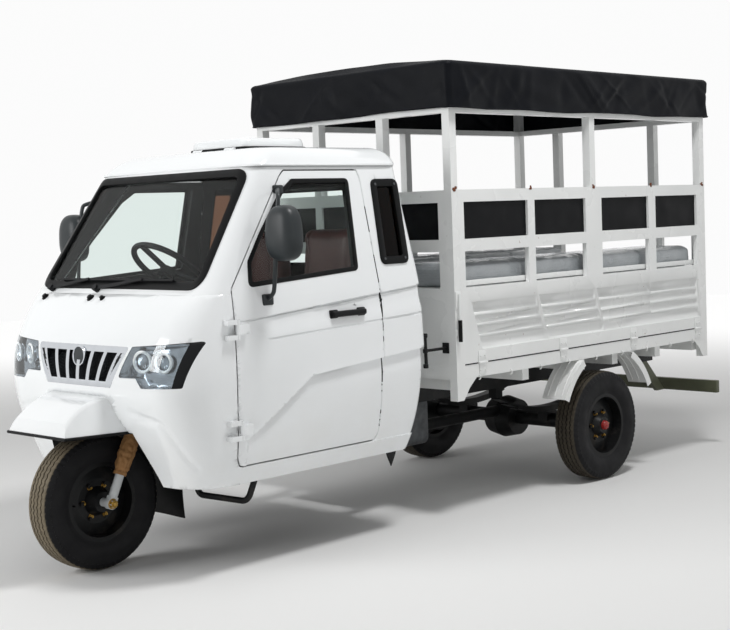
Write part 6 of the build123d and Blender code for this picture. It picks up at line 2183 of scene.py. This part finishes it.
@dataclass
class Mirrors:
    """Egg-shaped door mirrors on their tube arms, and the doors' pull handles.

    Attributes:
        middle: Middle of the left head.
        half: Half its depth, width and height.
        glass_x: X of its flat back.
        arm: Points of the left arm, from its foot.
        taper: How much narrower the head's top is than its middle.
    """

    middle: Point = (1.356, 0.735, 1.371)
    half: Point = (0.057, 0.084, 0.112)
    glass_x: float = 1.331
    arm: tuple[Point, ...] = (
        (1.380, 0.640, 1.105), (1.380, 0.678, 1.122), (1.380, 0.690, 1.160), (1.362, 0.690, 1.350),
        (1.342, 0.690, 1.505), (1.330, 0.676, 1.536), (1.228, 0.562, 1.550),
    )
    taper: float = 0.07

    def build(self) -> None:
        """Builds both mirrors and the pull handles."""
        foot = block("foot", (1.352, 0.6335, 1.082), (1.408, 0.652, 1.128), 0.006)
        top = block("top", (1.203, 0.553, 1.532), (1.253, 0.573, 1.568), 0.006)
        left = join("mirror_body_left", [self.head(), tube("arm", self.arm, 0.009, smooth=True), foot, top])
        dress_pair(left, Palette.GREY_ABS, True, ("mirror_left",))
        dress_pair(self.glass(), Palette.MIRROR, True)
        plates = [
            block("plate", (x - 0.022, 0.63, 1.0), (x + 0.022, 0.6535, 1.036), 0.004) for x in (0.852, 1.016)
        ]
        bar = soften(block("bar", (0.834, 0.650, 1.005), (1.034, 0.671, 1.031), 0.0), 0.0095, 5)
        handle = join("pull_handle_left", [*plates, bar])
        dress_pair(handle, Palette.BLACK_ABS, True, ("handle_left",))

    def fuller(self, share: float) -> float:
        """A sphere's share along one axis, filled out towards a box."""
        return math.copysign(abs(share) ** 0.72, share)

    def head(self) -> Piece:
        """Builds the left head: a filled-out egg, cut flat at its back.

        Returns:
            The head.
        """
        deselect()
        bpy.ops.mesh.primitive_uv_sphere_add(segments=64, ring_count=40, radius=1.0)
        piece = bpy.context.active_object
        for vert in piece.data.vertices:
            share = [self.fuller(c) for c in vert.co]
            wide = 1 - self.taper * share[2]
            x = self.middle[0] + self.half[0] * share[0]
            y = self.middle[1] + self.half[1] * share[1] * wide
            vert.co = (max(x, self.glass_x), y, self.middle[2] + self.half[2] * share[2])
        return soften(piece, 0.0, angle=45)

    def glass(self) -> Piece:
        """Builds the silvered glass on the left head's back.

        Returns:
            The glass.
        """
        shape = bmesh.new()
        ring = []
        for step in range(56):
            angle = math.tau * step / 56
            up = self.fuller(math.sin(angle))
            y = self.middle[1] + self.half[1] * 0.8 * self.fuller(math.cos(angle)) * (1 - self.taper * up)
            ring.append(shape.verts.new((self.glass_x - 0.001, y, self.middle[2] + self.half[2] * 0.82 * up)))
        face = shape.faces.new(ring)
        bmesh.ops.inset_region(shape, faces=[face], thickness=0.005, depth=0.0)
        piece = from_bmesh("mirror_glass_left", shape)
        modify(piece, "SOLIDIFY", thickness=0.003, offset=0.0)
        return soften(piece, 0.0005)


@dataclass
class Undertrim:
    """Black fittings below the cab and bed: flap, sill hooks and lock lever.

    Attributes:
        flap_x: X of the flap behind the front wheel.
        flap_span: Heights of its hem and of its upper edge.
        hook: Corners of a sill hook, as (X, Z).
    """

    flap_x: float = 1.498
    flap_span: Flat = (0.17, 0.384)
    hook: tuple[Flat, ...] = ((0.593, 0.372), (0.658, 0.372), (0.652, 0.352), (0.628, 0.302), (0.6, 0.352))

    def build(self) -> None:
        """Builds all of it."""
        self.build_flap()
        self.build_hooks()
        self.build_lever()

    def build_lever(self) -> None:
        """Builds the bed's lock lever, on its bracket at the headboard's left."""
        rod = tube("rod", [(0.394, 0.6, 0.87), (0.391, 0.6, 0.73)], 0.008)
        knobs = [
            prism("knob", (0.394, 0.6, z), (0, 0, 1), 0.012, 0.02, 20, 0.004) for z in (0.72, 0.79, 0.86)
        ]
        arm = block("arm", (0.2495, 0.592, 0.794), (0.394, 0.608, 0.806), 0.002)
        foot = block("foot", (0.2495, 0.58, 0.775), (0.2545, 0.62, 0.825), 0.002)
        dress(join("bed_lock_lever", [rod, *knobs, arm, foot]), Palette.CHASSIS_PAINT)

    def build_flap(self) -> None:
        """Builds the rubber flap behind the front wheel, bowed back at its hem."""
        hem, top = self.flap_span
        flap = block("mud_flap", (self.flap_x, -0.185, hem), (self.flap_x + 0.004, 0.185, top), 0.0)
        activate(flap)
        bpy.ops.object.mode_set(mode="EDIT")
        bpy.ops.mesh.select_all(action="SELECT")
        bpy.ops.mesh.subdivide(number_cuts=14)
        bpy.ops.object.mode_set(mode="OBJECT")
        for vert in flap.data.vertices:
            drop = (top - vert.co.z) / (top - hem)
            vert.co.x -= 0.018 * drop**2 + 0.004 * math.cos(vert.co.y * 17) * drop
            vert.co.y *= 1 - 0.06 * drop
        dress(soften(flap, 0.0), Palette.SEAL_RUBBER)

    def build_hooks(self) -> None:
        """Builds the flat hook under each side of the cab."""
        shape = bmesh.new()
        face = shape.faces.new([shape.verts.new((x, 0.58, z)) for x, z in self.hook])
        bmesh.ops.recalc_face_normals(shape, faces=[face])
        left = from_bmesh("sill_hook_left", shape)
        modify(left, "SOLIDIFY", thickness=0.006, offset=0.0)
        soften(left, 0.001)
        dress_pair(left, Palette.CHASSIS_PAINT)


@dataclass
class Headlamps:
    """Both headlamps: clear cover, black surround, bright bowl and two ringed projectors each.

    Attributes:
        projectors: Middles of the left lamp's projectors, as (Y, Z), with their radii.
        split: Two points of the slanting line, as (Y, Z), past which the surround is black.
        ahead_share: Least forward share of a normal on the cover's face.
    """

    projectors: tuple[Point, ...] = ((0.402, 0.886, 0.043), (0.517, 0.887, 0.04))
    split: tuple[Flat, Flat] = ((0.566, 0.79), (0.606, 0.966))
    ahead_share: float = 0.12

    def lamp_shape(self) -> Shape:
        """Copies the left lamp's solid, its doubles merged.

        Returns:
            The copy.
        """
        shape = bmesh.new()
        shape.from_mesh(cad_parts["headlamps"].data)
        bmesh.ops.remove_doubles(shape, verts=shape.verts, dist=MERGE)
        right = [v for v in shape.verts if v.co.y < 0]
        bmesh.ops.delete(shape, geom=right, context="VERTS")
        return shape

    def cut(self, shape: Shape, keep_inner: bool) -> None:
        """Cuts a lamp's shape at the slanting line.

        Args:
            shape: The shape.
            keep_inner: True if what lies inside the line is kept.
        """
        (y0, z0), (y1, z1) = self.split
        normal = Vector((0, z1 - z0, -(y1 - y0))).normalized()
        bmesh.ops.bisect_plane(
            shape,
            geom=[*shape.verts, *shape.edges, *shape.faces],
            plane_co=(0, y0, z0),
            plane_no=normal,
            clear_outer=keep_inner,
            clear_inner=not keep_inner,
        )

    def build(self) -> None:
        """Builds both lamps."""
        tree = skin_tree("headlamps")
        cover = self.lamp_shape()
        self.cut(cover, True)
        back = [f for f in cover.faces if f.normal.x < self.ahead_share]
        bmesh.ops.delete(cover, geom=back, context="FACES")
        lens = object_of("headlamp_cover_left", cover)
        modify(lens, "SOLIDIFY", thickness=0.0025, offset=-1.0)
        soften(lens, 0.0, angle=35)
        bowl = self.build_bowl()
        surround = self.lamp_shape()
        self.cut(surround, False)
        band = object_of("headlamp_surround_left", surround)
        soften(band, 0.0, angle=35)
        rings, eyes, hoods = self.build_projectors(tree)
        for piece, finish, slot in (
            (lens, Palette.LENS, "lamp"),
            (bowl, Palette.REFLECTOR, "chrome"),
            (band, Palette.BLACK_ABS, "black_plastic"),
            (rings, Palette.LAMP_RING, "lamp"),
            (eyes, Palette.LENS, "lamp"),
            (hoods, Palette.CHROME, "chrome"),
        ):
            dress_pair(piece, finish, replaced=("headlamps",) if piece is lens else ())

    def build_bowl(self) -> Piece:
        """Builds the bright bowl behind the cover: the solid's back and walls, seen from inside.

        Returns:
            The bowl.
        """
        shape = self.lamp_shape()
        self.cut(shape, True)
        front = [f for f in shape.faces if f.normal.x >= self.ahead_share]
        bmesh.ops.delete(shape, geom=front, context="FACES")
        bmesh.ops.reverse_faces(shape, faces=shape.faces)
        piece = object_of("headlamp_bowl_left", shape)
        modify(piece, "SOLIDIFY", thickness=0.0015, offset=1.0)
        return soften(piece, 0.0, angle=35)

    def build_projectors(self, tree: BVHTree) -> tuple[Piece, ...]:
        """Builds the left lamp's projectors.

        Args:
            tree: Search tree of the lamps.

        Returns:
            The white rings, the glass eyes and the bright hoods.
        """
        rings, eyes, hoods = [], [], []
        for y, z, r in self.projectors:
            spot = ahead(tree, y, z)[0]
            middle = Vector((spot.x - 0.016, y, z))
            way = Vector((0.96, 0.28, 0)).normalized()
            ring = [(r, -0.004), (r + 0.003, 0.002), (r - 0.001, 0.006)]
            ring += [(r - 0.008, 0.004), (r - 0.009, -0.003), (r, -0.004)]
            rings.append(lathe("ring", ring, middle, way, 56))
            bulb = [(0.0004, 0.004), (r * 0.3, 0.0025), (r * 0.55, -0.002)]
            bulb += [(r * 0.72, -0.009), (r * 0.74, -0.014), (0.0004, -0.014)]
            eyes.append(lathe("eye", bulb, middle, way, 40))
            hood = [(r - 0.009, 0.002), (r * 0.78, -0.006), (r * 0.74, -0.016), (r * 0.9, -0.017)]
            shell = lathe("hood", hood, middle, way, 40)
            hoods.append(modify(shell, "SOLIDIFY", thickness=0.001, offset=0.0))
        groups = {"rings": rings, "eyes": eyes, "hoods": hoods}
        return tuple(join(f"headlamp_{name}_left", parts) for name, parts in groups.items())


@dataclass
class GrilleTrim:
    """The dark mesh behind the grille's bars, and the blank round disc.

    Attributes:
        foot: Half the opening's width at its foot, with the height.
        head: Half the opening's width at its head, with the height.
        pitch: Spacing of the mesh.
        wire_radius: Radius of its wires.
        disc_radius: Radius of the disc.
        disc_height: Height of the disc's middle.
    """

    foot: Flat = (0.205, 0.802)
    head: Flat = (0.294, 0.917)
    pitch: float = 0.01725
    wire_radius: float = 0.0014
    disc_radius: float = 0.04
    disc_height: float = 0.896

    def build(self) -> None:
        """Builds the mesh, the sheet behind it and the disc."""
        tree = skin_tree("grille")
        self.build_mesh(tree)
        self.build_plate(tree)
        self.build_disc(tree)

    def depth(self, tree: BVHTree, y: float, z: float) -> float:
        """X of the plate behind the bars at a place."""
        hits = [ahead(tree, y + step, z)[0] for step in (-0.014, 0.0, 0.014)]
        return min((hit.x for hit in hits if hit), default=1.80)

    def build_mesh(self, tree: BVHTree) -> None:
        """Builds a black diamond mesh on the plate, between the bars.

        Args:
            tree: Search tree of the grille.
        """
        lines = []
        height = self.head[1] - self.foot[1]
        for sign in (-1, 1):
            start = -self.head[0] - height
            while start < self.head[0] + height:
                points = []
                for step in range(9):
                    z = self.foot[1] + height * step / 8
                    y = start + sign * height * step / 8 + (height if sign < 0 else 0)
                    wide = self.foot[0] + (self.head[0] - self.foot[0]) * step / 8
                    if abs(y) < wide:
                        points.append((self.depth(tree, y, z) + 0.002, y, z))
                if len(points) > 1:
                    lines.append(points)
                start += self.pitch
        piece = wires("grille_mesh", lines, self.wire_radius, resolution=0, capped=False)
        dress(piece, Palette.BLACK_ABS)

    def build_plate(self, tree: BVHTree) -> None:
        """Builds the black sheet between the bars, on the plate.

        Args:
            tree: Search tree of the grille.
        """
        shape = bmesh.new()
        columns, rows = 60, 8
        grid = []
        for row in range(rows + 1):
            v = row / rows
            z = self.foot[1] + (self.head[1] - self.foot[1]) * v
            wide = self.foot[0] + (self.head[0] - self.foot[0]) * v
            places = [wide * (2 * column / columns - 1) for column in range(columns + 1)]
            grid.append([shape.verts.new((self.depth(tree, y, z) + 0.0008, y, z)) for y in places])
        fill(shape, grid, ring=False)
        piece = from_bmesh("grille_back_sheet", shape)
        modify(piece, "SOLIDIFY", thickness=0.0006, offset=0.0)
        dress(soften(piece, 0.0), Palette.BLACK_ABS)

    def build_disc(self, tree: BVHTree) -> None:
        """Builds the blank disc and its bright ring.

        Args:
            tree: Search tree of the grille.
        """
        z = self.disc_height
        hits = [ahead(tree, y, z)[0] for y in (-0.03, 0, 0.03)]
        front = max((hit.x for hit in hits if hit), default=1.872)
        middle = Vector((front - 0.004, 0.0, z))
        way = Vector((1, 0, 0.1)).normalized()
        r = self.disc_radius
        dish = [(0.0004, 0.007), (r * 0.6, 0.0065), (r - 0.005, 0.005), (r - 0.004, -0.002), (0.0004, -0.002)]
        lip = [(r - 0.005, 0.004), (r - 0.003, 0.009), (r + 0.002, 0.009), (r + 0.004, 0.004)]
        lip += [(r + 0.003, -0.004), (r - 0.005, -0.004), (r - 0.005, 0.004)]
        disc = lathe("grille_disc", dish, middle, way, 48)
        ring = lathe("grille_ring", lip, middle, way, 48)
        dress(disc, Palette.GREY_ABS)
        dress(ring, Palette.CHROME)


@dataclass
class RearTrim:
    """Bumper end caps and the ribs of the rear lamps' lenses.

    Attributes:
        bumper_half: Half the bumper bar's length.
    """

    bumper_half: float = 0.64

    def build(self) -> None:
        """Builds the rear trim."""
        caps = []
        for side in Side:
            ends = sorted((side.value * (self.bumper_half - 0.03), side.value * (self.bumper_half + 0.004)))
            caps.append(block("cap", (-2.106, ends[0], 0.319), (-2.074, ends[1], 0.391), 0.004))
        dress(join("bumper_caps", caps), Palette.BUMPER_PAINT)
        lenses, ambers = [], []
        low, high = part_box("tail_lamps")
        for side in Side:
            for step in range(7):
                y = side.value * 0.54 - 0.06 + step * 0.02
                foot, tall = (low[0] + 0.001, y, low[2] + 0.006), high[2] - low[2] - 0.012
                target = ambers if abs(y) > 0.565 else lenses
                target.append(prism("rib", foot, (0, 0, 1), 0.0045, tall, 12, 0.001))
        dress(join("tail_lamp_ribs", lenses), Palette.RED_LENS)
        dress(join("turn_lamp_ribs", ambers), Palette.AMBER_LENS)


def main() -> None:
    """Builds every class in order and reports each piece."""
    logging.basicConfig(level=logging.INFO, format="%(message)s")
    Studio().build()
    CadFinishes().build()
    wheels = (
        Wheel("front", Body.FRONT_WHEEL, (FRONT_AXLE_X, 0.0, AXLE_Z), 1, 0.018, 0.5),
        Wheel("rear_left", Body.REAR_LEFT_WHEEL, (REAR_AXLE_X, 0.597, AXLE_Z), 1, 0.016, 0.15),
        Wheel("rear_right", Body.REAR_RIGHT_WHEEL, (REAR_AXLE_X, -0.597, AXLE_Z), -1, 0.016, 0.15),
    )
    for wheel in wheels:
        wheel.build()
    bed = (ForkDressing, Canopy, Bed, Benches)
    cab = (Seats, CabSkin, CabTrim, Mirrors, Undertrim, Headlamps, GrilleTrim)
    for assembly in (*bed, *cab, RearTrim):
        assembly().build()


if __name__ == "__main__":
    main()
